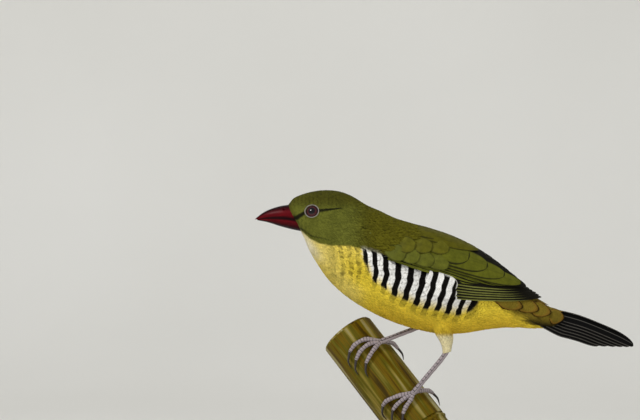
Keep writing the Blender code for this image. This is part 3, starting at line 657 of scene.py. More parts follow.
def bare_skin_paint(name, pale, dark, roughness):
    """Bare skin and scutes: thin scaled skin, matt, darker in the joints between its plates."""
    paint, add = new_paint(name, Roughness=roughness, Specular_IOR_Level=0.4)
    plate = add("ShaderNodeAttribute", output="Fac", attribute_name="plate")
    speck, base = grained(add, (2200.0,) * 3, 3.0, dark, pale)
    return surfaced(paint, laid_over(add, base, hex_colour("#1E1817"), plate, 0.5, 0.1), speck, 0.3, 0.03)


def claw_paint():
    """Claw horn: smooth grey-brown keratin, darker towards the point."""
    paint, add = new_paint("claw horn", Roughness=0.32, IOR=1.54)
    reach = add("ShaderNodeAttribute", output="Fac", attribute_name="reach")
    base = add("ShaderNodeMix", {0: reach, 6: hex_colour("#3A322F"), 7: hex_colour("#100C0A")}, output=2,
               data_type="RGBA")
    place = add("ShaderNodeTexCoord", output="Object")
    speck = add("ShaderNodeTexNoise", {"Vector": place, "Scale": 4000.0})
    return surfaced(paint, base, speck, 0.2, 0.02)


def reed_paint():
    """Reed: dry, smooth-skinned cane with long fibres, straw to olive-brown, and paler where the
    sheath has bleached. The fibres are drawn 0.3 mm apart to show."""
    paint, add = new_paint("dried reed", Roughness=0.6, Specular_IOR_Level=0.1)
    strand = add("ShaderNodeAttribute", output="Vector", attribute_name="strand")
    fibres = add("ShaderNodeMapping", {"Vector": strand, "Scale": (3.4, 3.4, 0.05)})
    fine = add("ShaderNodeTexNoise", {"Vector": fibres, "Scale": 1.0, "Detail": 6.0, "Roughness": 0.7})
    bands = add("ShaderNodeMapping", {"Vector": strand, "Scale": (0.42, 0.42, 0.03)})
    broad = add("ShaderNodeTexNoise", {"Vector": bands, "Scale": 1.0, "Detail": 2.0})
    ramp = add("ShaderNodeValToRGB", {"Fac": broad})
    stops = ramp.node.color_ramp.elements
    for place, text in ((0.44, "#6E5708"), (0.52, "#5E570F"), (0.60, "#8F7D34")):
        stops.new(place).color = hex_colour(text)
    for stop, place, text in ((stops[0], 0.36, "#463606"), (stops[len(stops) - 1], 0.68, "#A69C6C")):
        stop.position, stop.color = place, hex_colour(text)
    base = varied(add, ramp, fine, (0.3, 0.7), (0.62, 1.22))
    pith = add("ShaderNodeAttribute", output="Fac", attribute_name="cut face")
    base = add("ShaderNodeMix", {0: pith, 6: base, 7: hex_colour("#C8B88A")}, output=2, data_type="RGBA")
    return surfaced(paint, base, fine, 0.4, 0.1)


def wood_paint():
    """Walnut, turned and waxed: long brown grain lines 1 to 2 mm apart under a soft shine."""
    paint, add = new_paint("waxed walnut", Roughness=0.38, Coat_Weight=0.2, Coat_Roughness=0.3)
    grain, base = grained(add, (40.0, 420.0, 420.0), 5.0, "#2E1B10", "#7A5636")
    return surfaced(paint, base, grain, 0.15, 0.1)


def steel_paint():
    """Steel rod, drawn and brushed: grey metal with fine lines round it, 0.3 mm apart."""
    paint, add = new_paint("brushed steel", Roughness=0.34, Metallic=1.0)
    lines, base = grained(add, (90.0, 90.0, 3200.0), 2.0, "#8C8C8E", "#B4B4B6")
    return surfaced(paint, base, lines, 0.1, 0.02)


# Markings of the plumage, the same for skin and coat, seen from the side (x, z)

# Green above this line, and the barred flank and the yellow below it.
CHEEK_LINE = [(-30.2, 75.6), (-28.3, 73.6), (-26.0, 71.5), (-23.4, 70.2), (-20.8, 69.7), (-15.6, 69.6),
              (-12.5, 68.8), (-10.4, 68.3), (-7.8, 67.6), (-5.2, 66.4), (0.0, 64.9), (5.2, 63.5),
              (10.4, 61.8), (12.3, 60.4), (12.8, 56.4), (22.5, 55.8), (25.0, 54.2), (27.5, 51.6),
              (31.5, 50.3), (34.0, 49.9), (37.0, 49.6), (39.0, 50.2), (41.0, 51.0)]
# The tail's side shows as a dark wedge between its upper coverts and this line.
WEDGE_LINE = [(30.5, 50.4), (31.5, 49.9), (33.6, 48.9), (35.7, 48.1), (38.2, 46.8), (41.0, 45.8)]
# The throat's and breast's front edge, as (z, x).
THROAT_FRONT = [(57.5, -18.2), (60.1, -20.8), (63.4, -23.4), (67.6, -26.0), (71.2, -28.6), (73.8, -30.9)]
BELLY_LINE = [(-18.2, 57.5), (-13.0, 53.8), (-7.8, 51.0), (0.0, 48.0), (7.8, 46.5), (15.6, 46.9),
              (23.4, 48.0), (37.0, 47.6)]
# Where the bars cross the height of 59 mm, the first four faint ones on the breast.
BAR_X = [-20.2, -18.0, -15.8, -13.8, -11.9, -9.5, -6.8, -3.6, -0.3, 3.0, 6.0, 9.1, 12.0, 15.0, 17.7]
# Where they end below.
BAR_END = [(-12.4, 66.0), (-11.3, 64.6), (-9.4, 60.3), (-6.8, 58.8), (-4.4, 56.7), (-1.3, 55.6),
           (1.6, 54.1), (3.6, 53.3), (7.3, 52.8), (9.4, 52.0), (12.5, 51.5), (15.9, 52.8), (18.0, 55.0)]
FLANK_FROM, FLANK_TO = -12.3, 17.6
# Dark stripes through the eye, and a faint line of painted shade in the crease under the cheek: ends, half
# widths and strength.
EYE_STRIPES_AND_CHEEK_SHADE = [((-30.6, 76.3), (-27.2, 78.4), 0.7, 0.5, 0.95), ((-23.9, 78.8), (-17.4, 79.5), 0.5, 0.06, 0.95),
           ((-28.4, 74.2), (-25.6, 72.2), 0.28, 0.25, 0.5), ((-25.6, 72.2), (-21.0, 71.2), 0.25, 0.1, 0.5)]


def near_line(x, z, line):
    """1 on a tapering line from its first point to its second, and 0 beyond its edge."""
    (x0, z0), (x1, z1), start, end = line[:4]
    share = np.clip(((x - x0) * (x1 - x0) + (z - z0) * (z1 - z0))
                    / ((x1 - x0) ** 2 + (z1 - z0) ** 2), 0.0, 1.0)
    off = np.hypot(x - mix(x0, x1, share), z - mix(z0, z1, share))
    return 1.0 - soft(0.55, 1.25, off / mix(start, end, share))


def scales(x, z, long, wide):
    """How dark the rims of rounded feathers in offset rows are, at a point seen from the side."""
    marks = []
    for half in (0.0, 0.5):
        across = np.mod(z / wide + half, 1.0) - 0.5
        along = np.mod(x / (2.0 * long) + half + 0.9 * across ** 2, 1.0) - 0.5
        marks.append(np.exp(-(along / 0.09) ** 2) * soft(0.5, 0.3, np.abs(across)))
    return np.maximum(*marks)


def plume_colour(x, z, tone=0.0):
    """The plumage's colour without its bars, with a painted shade line in the cheek's crease, at a point
    seen from the side.
    """
    def blend(first, second, share):
        return first + (second - first) * share[..., None]

    line = along_line(CHEEK_LINE, x)
    crown, face, back, rump, coverts = map(rgb, ("#525018", "#666827", "#5C5712", "#6A6119", "#74631F"))
    green = blend(crown, back, soft(-20.0, -6.0, x))
    cheek = (1.0 - soft(78.5, 82.0, z)) * (1.0 - soft(-17.0, -9.0, x)) * soft(-32.0, -29.0, x)
    green = blend(green, face, cheek)
    green = blend(green, rump, soft(16.0, 26.0, x))
    green = blend(green, coverts, soft(22.0, 27.0, x))

    # The crown and the lore show the rims of their small feathers.
    crown_part = soft(79.3, 80.6, z) * (1.0 - soft(-21.0, -15.0, x))
    lore_part = soft(78.5, 77.5, z) * (1.0 - soft(-27.5, -25.5, x))
    rims = scales(x, z, 1.0, 1.25) * np.maximum(crown_part, lore_part)
    green = blend(green, rgb("#1C1B0A"), 0.42 * rims)

    # Cream at the throat, then yellow, deeper towards the belly.
    cream, pale, gold, deep = map(rgb, ("#F4EBC8", "#E6D276", "#E6CB3E", "#DEBC36"))
    front = along_line(THROAT_FRONT, z)
    yellow = blend(pale, gold, soft(3.0, 9.0, x - front) * 0.6 + 0.4 * soft(70.0, 62.0, z))
    yellow = blend(yellow, gold, soft(-14.0, -4.0, x))
    throat = (1.0 - soft(0.8, 4.0, x - front)) * soft(64.0, 70.0, z)
    yellow = blend(yellow, cream, throat)
    low = along_line(BELLY_LINE, x)
    yellow = blend(yellow, deep, (1.0 - soft(0.5, 6.5, z - low)) * soft(-16.0, -4.0, x)
                   * (1.0 - soft(26.0, 36.0, x)))

    # White between the flank's bars, and the dark wedge of the tail's side.
    end = along_line(BAR_END, x)
    white = (soft(FLANK_FROM - 0.4, FLANK_FROM + 0.4, x) * (1.0 - soft(FLANK_TO - 0.4, FLANK_TO + 0.6, x))
             * soft(-0.6, 3.2, z - end))
    yellow = blend(yellow, rgb("#ECEAE4"), white)
    wedge = soft(-0.2, 0.2, z - along_line(WEDGE_LINE, x)) * soft(30.6, 31.4, x)
    yellow = blend(yellow, rgb("#14120D"), wedge)

    # Green begins softly over the rump, and above a pale frill before the wing.
    edge = 0.25 + 1.1 * soft(21.0, 25.0, x)
    colour = blend(yellow, green, soft(-edge, edge, z - line))
    frill = soft(-12.8, -11.4, x) * (1.0 - soft(-8.0, -6.6, x)) * soft(-0.5, 0.0, z - line)
    colour = blend(colour, rgb("#A9A690"), 0.6 * frill * (1.0 - soft(0.4, 1.1, z - line)))
    # The eye's dark stripes, and the painted shade in the cheek's crease.
    for dark_line in EYE_STRIPES_AND_CHEEK_SHADE:
        colour = blend(colour, rgb("#100F09"), near_line(x, z, dark_line) * dark_line[-1])
    return colour * (1.0 + tone)[..., None] if np.ndim(tone) else colour


def bar_marks(x, z, shift):
    """How many bars lie ahead of a point, and how strong they are there."""
    # A bar stands furthest back at this height.
    over = z - 62.5
    lean = np.where(over > 0, 0.7 - 0.018 * over ** 2, 0.7 - 0.128 * np.abs(over) ** 1.355)
    line = along_line(CHEEK_LINE, x)
    end = along_line(BAR_END, x)

    # The feathers' rows, 4.1 mm high, scallop its edges.
    turn = 2 * math.pi * ((line - z) / 4.1 + 0.14 * np.sin(x * 1.9) + 0.05)
    sweep_back = 0.1 - 0.13 * np.sin(turn) - 0.05 * np.sin(2 * turn)
    count = np.interp(x - lean + sweep_back + shift, BAR_X, np.arange(len(BAR_X)) - 3.0)

    # Full bars on the flank, faint dashes under their ends, and broken ticks on the breast before them.
    inside = soft(FLANK_FROM - 0.2, FLANK_FROM + 0.2, x) * (1.0 - soft(FLANK_TO, FLANK_TO + 0.3, x))
    below = 1.0 - soft(0.1, 0.5, z - line)
    bars = inside * soft(-0.25, 0.25, z - end)
    dashes = 0.4 * inside * soft(-2.4, -1.2, z - end) * (1.0 - soft(-0.25, 0.25, z - end))
    wander = 1.6 * np.sin(1.3 * x + 0.9 * z) + 1.2 * np.sin(2.9 * x - 1.7 * z)
    dashed = 0.25 + 0.75 * soft(-0.3, 0.6, np.sin(3.6 * z + 2.3 * np.round(count) + wander))
    ticks = (0.55 * soft(-22.0, -18.5, x) * (1.0 - soft(FLANK_FROM - 0.2, FLANK_FROM + 0.2, x))
             * soft(57.5, 62.5, z) * dashed)
    return count, (bars + dashes + ticks) * below


# Skin

# The bake map has the body's skin on its left, as wide as this, and the thighs beyond.
BODY_MAP = 0.78
THIGH_MAP = 0.82
# How long the patch of the map is that a feather is baked on, and its shares along and across.
PATCH_SIZE = 0.003
PATCH_SHAPE = (1.0, 0.5, 0.0)


def body_map(place, angle):
    """The place of a point on an unwrap of the body's skin."""
    across = 0.01 + BODY_MAP * np.clip(place, -0.3, LAST + 1.0) / (LAST + 1.0)
    return np.stack([across, 0.01 + 0.98 * (angle / (2 * math.pi) + 0.5), 0 * across], -1)


def thigh_path(side):
    """A thigh's middle line from the belly to the heel."""
    top, heel = THIGH_TOP[side], HEEL[side]
    bulge = mix(top, heel, 0.6) + np.array([0.9, 0.9 * SIDES[side], 0.0])
    return through([top, bulge, heel], 17)


def thigh_points(side, share, turn, inset=0.25):
    """Points on a thigh: share 0 is in the belly and 1 at the heel, turn goes round it."""
    top, heel = THIGH_TOP[side], HEEL[side]
    ahead = unit(heel - top)
    across = np.array([0.0, 1.0, 0.0])
    front = unit(np.cross(ahead, across))
    path = np.stack([np.interp(share, np.linspace(0, 1, 17), thigh_path(side)[:, axis])
                     for axis in range(3)], -1)
    radius = mix(THIGH_RADIUS[side], HEEL_RADIUS, soft(0, 1, share * 1.05)) - inset
    return (path + across * (np.cos(turn) * radius)[..., None]
            + front * (np.sin(turn) * radius * 1.1)[..., None])


def thigh_map(side, share, turn):
    """The place of a thigh's point on the bake map."""
    across = THIGH_MAP + 0.16 * np.clip(share, 0, 1)
    low = 0.02 if side == "left" else 0.52
    return np.stack([across, low + 0.44 * (turn / (2 * math.pi) % 1.0), 0 * across], -1)


def thigh_colour_and_shade(points):
    """Cream at the heel, and where the thigh leaves the belly the belly's colour, darkened by painted shade
    to match the shaded underside there.
    """
    x, z = as_seen(points)
    # Painted shade: the thigh's top takes the belly's colour at 0.82 of its brightness, because the belly's
    # underside is shaded there.
    return mix(rgb("#E6DAAC"), plume_colour(x, z) * 0.82, soft(45.8, 47.0, z)[:, None])


def keep_colour(mesh, colour):
    """Keeps the plumage's colour for each point of a mesh."""
    keep_numbers(mesh, {"plume": np.concatenate([colour, np.ones((len(colour), 1))], 1)})


def dress(mesh, colour_at, shift, tone, rim):
    """Marks every point of a mesh with the plumage's colour and bars."""
    keep_colour(mesh, plume_colour(*as_seen(colour_at), tone))
    count, strength = bar_marks(*as_seen(read_points(mesh)), shift)
    keep_numbers(mesh, {"mark": np.stack([count, strength, rim], -1)})


def make_skin(paint):
    """One skin over head, neck, body and thighs."""
    rows, columns = 190, 128
    place = np.linspace(0.0, LAST, rows)
    angle = np.linspace(-math.pi, math.pi, columns, endpoint=False)
    spots = pairings(place, angle)
    skin = shape("skin", skin_points(*spots), tube_faces(rows, columns), {"patch": body_map(*spots)})
    rows, columns = 28, 40
    spots = pairings(np.linspace(0, 1, rows), full_turn(columns))
    united(skin, [shape("thigh", thigh_points(side, *spots), tube_faces(rows, columns),
                        {"patch": thigh_map(side, *spots)}) for side in SIDES])
    mesh = skin.data
    thigh = read_numbers(mesh, "patch")[:, 0] > THIGH_MAP - 0.01
    keep_bake_map(mesh)
    points = read_points(mesh)
    none = np.zeros(len(points))
    dress(mesh, points, none, none, none)
    colour = read_numbers(mesh, "plume")
    colour[thigh, :3] = thigh_colour_and_shade(points[thigh])
    keep_numbers(mesh, {"plume": colour})
    finish_piece(skin, paint, "yellow_plumage", "head", "neck", "torso", "thigh_left", "thigh_right",
                 sharp=180)


# Coat

SHOULDER_RISE = 3.0
# Seen from the side, the shoulder's feathers lie over the wing above this line.
SHOULDER_LINE = [(-14.0, 60.0), (-3.6, 65.8), (-2.2, 69.0), (0.8, 71.0), (5.0, 72.0), (9.0, 71.6),
                 (12.5, 70.4), (16.0, 69.4)]


def plume_shape(name, rows, columns, blunt, fray, crown, point):
    """One small feather, a unit long and wide: a cambered vane with a rounded, slightly split tip,
    which narrows to point of its width."""
    row, column = pairings(np.arange(rows + 1), np.arange(columns + 1))
    across = column / columns * 2.0 - 1.0
    along = row / rows * (1.0 - blunt * across ** 2 - fray * (column % 2))
    width = mix(0.5, 1.0, soft(0.0, 0.45, along)) * mix(1.0, point, soft(0.45, 1.0, row / rows))
    points = np.stack([along, across * width / 2, crown * (1 - across ** 2) * soft(-0.3, 0.4, along)], -1)
    faces = grid_faces(rows + 1, columns + 1)
    left = [index * (columns + 1) for index in range(rows + 1)]
    right = [index + columns for index in left]
    faces += [[left[index], left[index + 1], right[index + 1], right[index]] for index in range(rows)]
    faces += [list(range(columns + 1)), list(range(left[-1], right[-1] + 1))]
    blade = np.stack([row / rows, across, 0 * along], -1)
    reach = np.stack([-along ** 2, -(across * width) ** 2, along], -1)
    return shape(name, points, faces, {"blade": blade, "reach": reach})


def laying_tree():
    """A tree that lays one plume on every root, bends it over the body and gives it its bake patch."""
    tree = bpy.data.node_groups.new("Lay plumes", "GeometryNodeTree")
    for name, kind in (("Roots", "Geometry"), ("Plume", "Object"), ("Paint", "Material"),
                       ("Patch size", "Float")):
        socket = tree.interface.new_socket(name, in_out="INPUT", socket_type=f"NodeSocket{kind}")
    socket.default_value = PATCH_SIZE
    tree.interface.new_socket("Coat", in_out="OUTPUT", socket_type="NodeSocketGeometry")
    add = partial(wire, tree)
    given = add("NodeGroupInput").node.outputs
    out, lie, size, drop, reach, blade, patch = [
        add("GeometryNodeInputNamedAttribute", {"Name": name}, data_type="FLOAT_VECTOR")
        for name in ("out", "lie", "size", "drop", "reach", "blade", "patch")]
    turn = add("FunctionNodeAxesToRotation", {"Primary Axis": out, "Secondary Axis": lie},
               primary_axis="Z", secondary_axis="X")
    plume = add("GeometryNodeObjectInfo", {"Object": given["Plume"]}, output="Geometry")
    laid = add("GeometryNodeInstanceOnPoints", {"Points": given["Roots"], "Instance": plume,
                                                "Rotation": turn, "Scale": size})
    real = add("GeometryNodeRealizeInstances", {"Geometry": laid})
    rise = add("ShaderNodeVectorMath", {0: drop, 1: reach}, output="Value", operation="DOT_PRODUCT")
    offset = add("ShaderNodeVectorMath", {0: out, "Scale": rise}, operation="SCALE")
    bent = add("GeometryNodeSetPosition", {"Geometry": real, "Offset": offset})
    within = add("ShaderNodeVectorMath", {0: blade, 1: PATCH_SHAPE}, operation="MULTIPLY")
    within = add("ShaderNodeVectorMath", {0: within, "Scale": given["Patch size"]}, operation="SCALE")
    baked = add("ShaderNodeVectorMath", {0: within, 1: patch}, operation="ADD")
    mapped = add("GeometryNodeStoreNamedAttribute", {"Geometry": bent, "Name": "OFBake", "Value": baked},
                 data_type="FLOAT2", domain="CORNER")
    painted = add("GeometryNodeSetMaterial", {"Geometry": mapped, "Material": given["Paint"]})
    add("NodeGroupOutput", {"Coat": painted})
    return tree


def lay_coat(name, tree, plume, paint, slot, roots, own=0.5):
    """Makes a coat piece from rows of roots. own is how far each point takes its own colour
    rather than that of its feather's tip."""
    mesh = bpy.data.meshes.new(name)
    mesh.vertices.add(len(roots["at"]))
    mesh.vertices.foreach_set("co", (roots["at"] * MM).astype(np.float32).ravel())
    keep_numbers(mesh, {name: values for name, values in roots.items() if name != "at"})
    keep_numbers(mesh, {"drop": roots["drop"] * MM})
    piece = new_object(name, mesh)
    change = piece.modifiers.new("Lay plumes", "NODES")
    change.node_group = tree
    sockets = {item.name: item.identifier for item in tree.interface.items_tree}
    change[sockets["Plume"]] = plume
    change[sockets["Paint"]] = paint
    live = piece.evaluated_get(bpy.context.evaluated_depsgraph_get())
    coat = bpy.data.meshes.new_from_object(live)
    piece.modifiers.clear()
    piece.data = coat
    bpy.data.meshes.remove(mesh)
    dress(coat, mix(read_numbers(coat, "tip"), read_points(coat), own),
          *[read_numbers(coat, name)[:, 0] for name in ("shift", "tone", "rim")])
    for spare in ("out", "lie", "size", "drop", "reach", "tip", "patch", "shift", "tone", "rim"):
        coat.attributes.remove(coat.attributes[spare])
    return finish_piece(piece, paint, slot, sharp=180)


def planted(random, start, end, exposed, gap, keep=lambda x, z, angle: x < 99, ragged=0.14):
    """Places and angles of feather roots in staggered rows over the body. exposed and gap give the
    shown length and the spacing across by section, and keep picks the ones wanted."""
    rows = []
    ring_angle = np.linspace(-math.pi, math.pi, 121)
    place, row, little = start, 0, 0.05
    while place < end:
        ring = skin_points(np.full(len(ring_angle), place), ring_angle)
        run = run_along(ring)
        step, width = np.interp(place, *exposed), np.interp(place, *gap)
        count = max(int(run[-1] / width), 6)
        stations = (np.arange(count) + 0.5 * (row % 2)) / count * run[-1]
        side = skin_points(np.array([place, place + little]), np.array([math.pi / 2] * 2))
        forward = step / (np.linalg.norm(side[1] - side[0]) / little)
        angles = (np.interp(stations, run, ring_angle)
                  + random.normal(0, ragged, count) * width / run[-1] * 2 * math.pi)
        places = place + random.normal(0, ragged, count) * forward
        rows.append([places, angles, np.full(count, step), np.full(count, width)])
        place, row = place + forward, row + 1
    places, angles, shown, spaced = np.concatenate(rows, 1)
    at = skin_points(places, angles)
    wanted = keep(at[:, 0], at[:, 2], angles)
    return places[wanted], angles[wanted], shown[wanted], spaced[wanted]


def coat_floor(place, angle):
    """The skin, and over the wing's front the arm that the shoulder's feathers run across."""
    at = skin_points(place, angle)
    out = body_normals(np.minimum(place, LAST), angle)
    over = 0.02 + SHOULDER_RISE * wing_swell(at[:, 0]) * soft(-15.0, -8.0, at[:, 0])
    over = over * mix(1.0, 0.6 * (1.0 - soft(19.0, 28.0, at[:, 0])), soft(15.0, 19.0, at[:, 0]))
    over = over * soft(-0.2, 1.8, at[:, 2] - along_line(CHEEK_LINE, at[:, 0]))
    over = kept_under(at, out, np.maximum(over * soft(-0.05, 0.3, np.abs(angle)), 0.02))
    return at + out * over[:, None]


def rooted(random, places, angles, shown, spaced, cover=2.5, wide=1.5, lift=0.26, slant=0.25, rim=0.0,
           tones=0.05, shifts=0.1):
    """What the laying tree needs for feathers rooted at places and angles on the skin."""
    count = len(places)
    step = 0.03
    at = coat_floor(places, angles)
    out = body_normals(np.minimum(places, LAST), angles)
    ahead = (skin_points(places + step, angles) - skin_points(places, angles)) / step
    length = shown * cover * random.uniform(0.9, 1.1, count)
    speed = np.linalg.norm(ahead, axis=1)
    slant = random.normal(0, slant, count)
    beyond = coat_floor(places + length / speed, angles + slant * length / 20.0)
    lie = beyond - at
    side = unit(np.cross(out, lie))
    width = spaced * wide * random.uniform(0.92, 1.08, count)
    around = (skin_points(places, angles + step) - skin_points(places, angles)) / step
    turned = width / 2 / np.linalg.norm(around, axis=1)
    edge = (coat_floor(places, angles + turned) + coat_floor(places, angles - turned)) / 2
    fall = -((lie * out).sum(1))
    fall_side = np.maximum(-((edge - at) * out).sum(1), 0.0)
    lift = np.broadcast_to(lift, (count,)) * random.uniform(0.85, 1.15, count)
    flat = np.linalg.norm(lie + out * fall[:, None], axis=1)
    return {
        "at": at - out * 0.12, "out": out, "lie": unit(np.cross(side, out)),
        "size": np.stack([flat, width, width], -1), "drop": np.stack([fall, fall_side, lift], -1),
        "tip": beyond + out * lift[:, None],
        "patch": body_map(places, angles),
        "shift": random.normal(0, shifts, count), "tone": random.normal(0, tones, count),
        "rim": np.broadcast_to(rim, (count,)) * np.ones(count),
    }


def chosen(roots, wanted):
    """The roots that are wanted."""
    return {name: values[wanted] for name, values in roots.items()}


def eye_spot():
    """The left eye's place and angle on the body."""
    place, angle = seen(np.array([EYE[0]]), np.array([EYE[1]]))
    return place[0], angle[0]


def clear_of_eyes(roots):
    """Leaves out or shortens the feathers that would reach over the eyes."""
    place, angle = eye_spot()
    room = LID_RING - 0.02
    keep = np.ones(len(roots["at"]), bool)
    for side in (1, -1):
        centre = skin_points(np.array([place]), np.array([angle * side]))[0]
        from_root = np.linalg.norm(roots["at"] - centre, axis=1)
        from_tip = np.linalg.norm(roots["tip"] - centre, axis=1)
        keep &= from_root > room - 0.05
        reach = np.clip((from_root - room) / np.maximum(from_root - from_tip, 0.01), 0.0, 1.0)
        over = (from_tip < room) & keep
        roots["size"][over, 0] *= np.maximum(reach[over], 0.05)
        roots["drop"][over, 0] *= np.maximum(reach[over], 0.05) ** 2
        keep &= ~(over & (reach < 0.3))
    return chosen(roots, keep)


def under_wing(x, z, angle):
    """Where the folded wing hides the coat, up to the shoulder's feathers and beside the rump."""
    line = along_line(CHEEK_LINE, x)
    start = line + 0.8 - 1.2 * soft(5.0, 9.0, x)
    beside_rump = np.abs(angle) > math.radians(24)
    hidden = (z > start) & (x > -8.0) & (z < along_line(SHOULDER_LINE, x)) & (x < 16.0)
    behind = (x > 15.0) & (x < 27.0) & (z > line - 0.3)
    return hidden & (beside_rump | (x < 6.0)) | behind & beside_rump


def on_flank(x, z):
    """Where the flank's barred feathers lie."""
    return ((x > -13.6) & (x < 17.4) & (z > along_line(BAR_END, x) - 0.9)
            & (z < along_line(CHEEK_LINE, x) + 0.6))


def make_coat(paint):
    """Small feathers over the whole body, each tract with its own size and lie."""
    random = np.random.default_rng(SEED)
    tree = laying_tree()
    small = plume_shape("small plume", 3, 4, 0.25, 0.08, 0.06, 0.3)
    soft_plume = plume_shape("body plume", 4, 4, 0.3, 0.1, 0.05, 0.32)
    broad = plume_shape("broad plume", 8, 6, 0.4, 0.02, 0.02, 0.75)
    firm = plume_shape("firm plume", 6, 8, 0.45, 0.0, 0.07, 0.8)

    # Face, crown and nape: tiny feathers, smallest at the bill and round the eyes.
    sections = [0, 1, 3, 5, 7]
    for name, start, end in (("face_coat", 0.02, 2.6), ("crown_coat", 2.6, 4.6), ("nape_coat", 4.6, 6.6)):
        spots = planted(random, start, end, (sections, [0.19, 0.23, 0.30, 0.38, 0.50]),
                        (sections, [0.27, 0.33, 0.41, 0.49, 0.62]))
        roots = rooted(random, *spots, lift=np.interp(spots[0], [0, 1, 5], [0.1, 0.12, 0.17]), cover=3.8)
        lay_coat(name, tree, small, paint, "olive_plumage", clear_of_eyes(roots), own=0.8)

    # Short bristly feathers that lie forward over the bill's root.
    ring, rows = 84, [0.02, 0.13, 0.26, 0.4]
    count = ring * len(rows)
    angles = np.concatenate([np.linspace(-math.pi, math.pi, ring, endpoint=False) + 0.03 * row
                             for row in range(len(rows))])
    places = np.repeat(rows, ring) + random.normal(0, 0.02, count)
    roots = rooted(random, places, angles, np.full(count, 0.3), np.full(count, 0.28), lift=0.04, slant=0.0)
    forward = unit(-roots["lie"] + random.normal(0, 0.16, (count, 3)))
    out = unit(roots["out"] + 0.3 * roots["lie"])
    roots["lie"] = unit(forward - out * (forward * out).sum(1, keepdims=True))
    roots["out"] = out
    roots["size"] = np.stack([random.uniform(0.7, 1.05, count), *[np.full(count, 0.3)] * 2], -1)
    roots["drop"] = np.tile([0.22, 0.02, 0.06], (count, 1))
    roots["tip"] = roots["at"] + roots["lie"] * 0.2
    lay_coat("bill_bristles", tree, small, paint, "olive_plumage", roots, own=0.0)

    # Back, breast and belly.
    for name, slot, sign in (("back_coat", "olive_plumage", 1), ("belly_coat", "yellow_plumage", -1)):
        spots = planted(random, 6.5, LAST - 1.3, ([6, 9, 13, LAST], [0.5, 0.56, 0.6, 0.62]),
                        ([6, 9, 13, LAST], [0.62, 0.7, 0.76, 0.76]),
                        lambda x, z, angle: ~under_wing(x, z, angle) & ~on_flank(x, z)
                        & ((z - along_line(CHEEK_LINE, x)) * sign > 0))
        roots = rooted(random, *spots, lift=0.19, cover=3.8, wide=1.5)
        lay_coat(name, tree, soft_plume, paint, slot, roots, own=0.6)

    # Flanks: broader feathers in rows, crossed by the bars, each row's set off a little from the next.
    spots = planted(random, 6.3, 14.6, ([6, 14], [0.95, 1.0]), ([6, 14], [1.3, 1.35]),
                    lambda x, z, angle: on_flank(x, z), ragged=0.06)
    roots = rooted(random, *spots, lift=0.15, cover=3.0, wide=1.7, tones=0.01, slant=0.03, shifts=0.012)
    tip_x, tip_z = as_seen(roots["tip"])
    over_wing = (tip_x > 11.0) & (tip_z > along_line(CHEEK_LINE, tip_x) - 0.1)
    lay_coat("flank_coat", tree, broad, paint, "yellow_plumage", chosen(roots, ~over_wing), own=1.0)

    # Tail coverts: above, four rows of three large rounded feathers with dark rims, and soft yellow
    # ones below. The outer feathers of a row stand higher, so that they lie over its middle one.
    places, steps = np.repeat([13.75, 14.55, 15.25, 16.25], 3), np.tile([0, -1, 1], 4)
    spread = steps * np.repeat([82, 70, 64, 66], 3)
    roots = rooted(random, places, np.radians(spread), np.where(steps == 0, 2.9, 3.4),
                   np.where(steps == 0, 2.6, 3.1), lift=0.08 + 0.44 * np.abs(steps), cover=2.0, wide=1.6,
                   rim=0.9, slant=0.0)
    lay_coat("upper_tail_coverts", tree, firm, paint, "olive_plumage", roots, own=0.15)
    spots = planted(random, 14.6, LAST - 1.4, ([12, LAST], [1.5, 1.7]), ([12, LAST], [1.5, 1.5]),
                    lambda x, z, angle: np.abs(angle) > math.radians(104), ragged=0.1)
    roots = rooted(random, *spots, lift=0.26, cover=2.6, wide=1.7)
    lay_coat("under_tail_coverts", tree, soft_plume, paint, "yellow_plumage", roots, own=0.2)

    # Thighs: short soft feathers down to the heel.
    rows, ring = np.arange(0.15, 0.97, 0.035), 20
    for side in SIDES:
        row, index = pairings(np.arange(len(rows)), np.arange(ring))
        share = rows[row] + random.normal(0, 0.01, len(row))
        turn = (index + 0.5 * (row % 2)) / ring * 2 * math.pi + random.normal(0, 0.08, len(row))
        at = thigh_points(side, share, turn)
        body_y = np.abs(body_points(*seen(at[:, 0], at[:, 2]))[:, 1])
        bare = (np.abs(at[:, 1]) > body_y - 0.35) | (at[:, 2] < along_line(BELLY_LINE, at[:, 0]) + 0.4)
        share, turn, at = share[bare], turn[bare], at[bare]
        beyond = thigh_points(side, share + 0.17, turn)
        ahead = thigh_points(side, share + 0.02, turn) - at
        around = thigh_points(side, share, turn + 0.02) - at
        out = unit(np.cross(ahead, around))
        middle = thigh_points(side, share, turn, 3.0)
        out *= np.sign((out * (at - middle)).sum(1, keepdims=True))
        lie = beyond - at
        fall = -(lie * out).sum(1)
        count = len(share)
        width = np.full(count, 0.8) * random.uniform(0.9, 1.1, count)
        roots = {"at": at - out * 0.08, "out": out, "lie": unit(lie + out * fall[:, None]),
                 "size": np.stack([np.linalg.norm(lie, axis=1), width, width], -1),
                 "drop": np.stack([fall, np.full(count, 0.08), np.full(count, 0.16)], -1),
                 "tip": np.tile([8.0, 0.0, 40.0], (count, 1)),
                 "patch": thigh_map(side, share, turn),
                 "shift": np.zeros(count), "tone": random.normal(0, 0.05, count), "rim": np.zeros(count)}
        coat = lay_coat(f"thigh_coat_{side}", tree, small, paint, "thigh_plumage", roots, own=0.0)
        colour = thigh_colour_and_shade(read_points(coat.data))
        keep_colour(coat.data, colour)
        keep_numbers(coat.data, {"mark": np.zeros((len(colour), 3))})
    for spare in (small, soft_plume, broad, firm):
        bpy.data.objects.remove(spare, do_unlink=True)


# Wings and tail

# Wing feathers that lie higher than this over the body have roots that sink towards it by a share.
ROOT_LIFT = 0.95
ROOT_SINK = 0.65
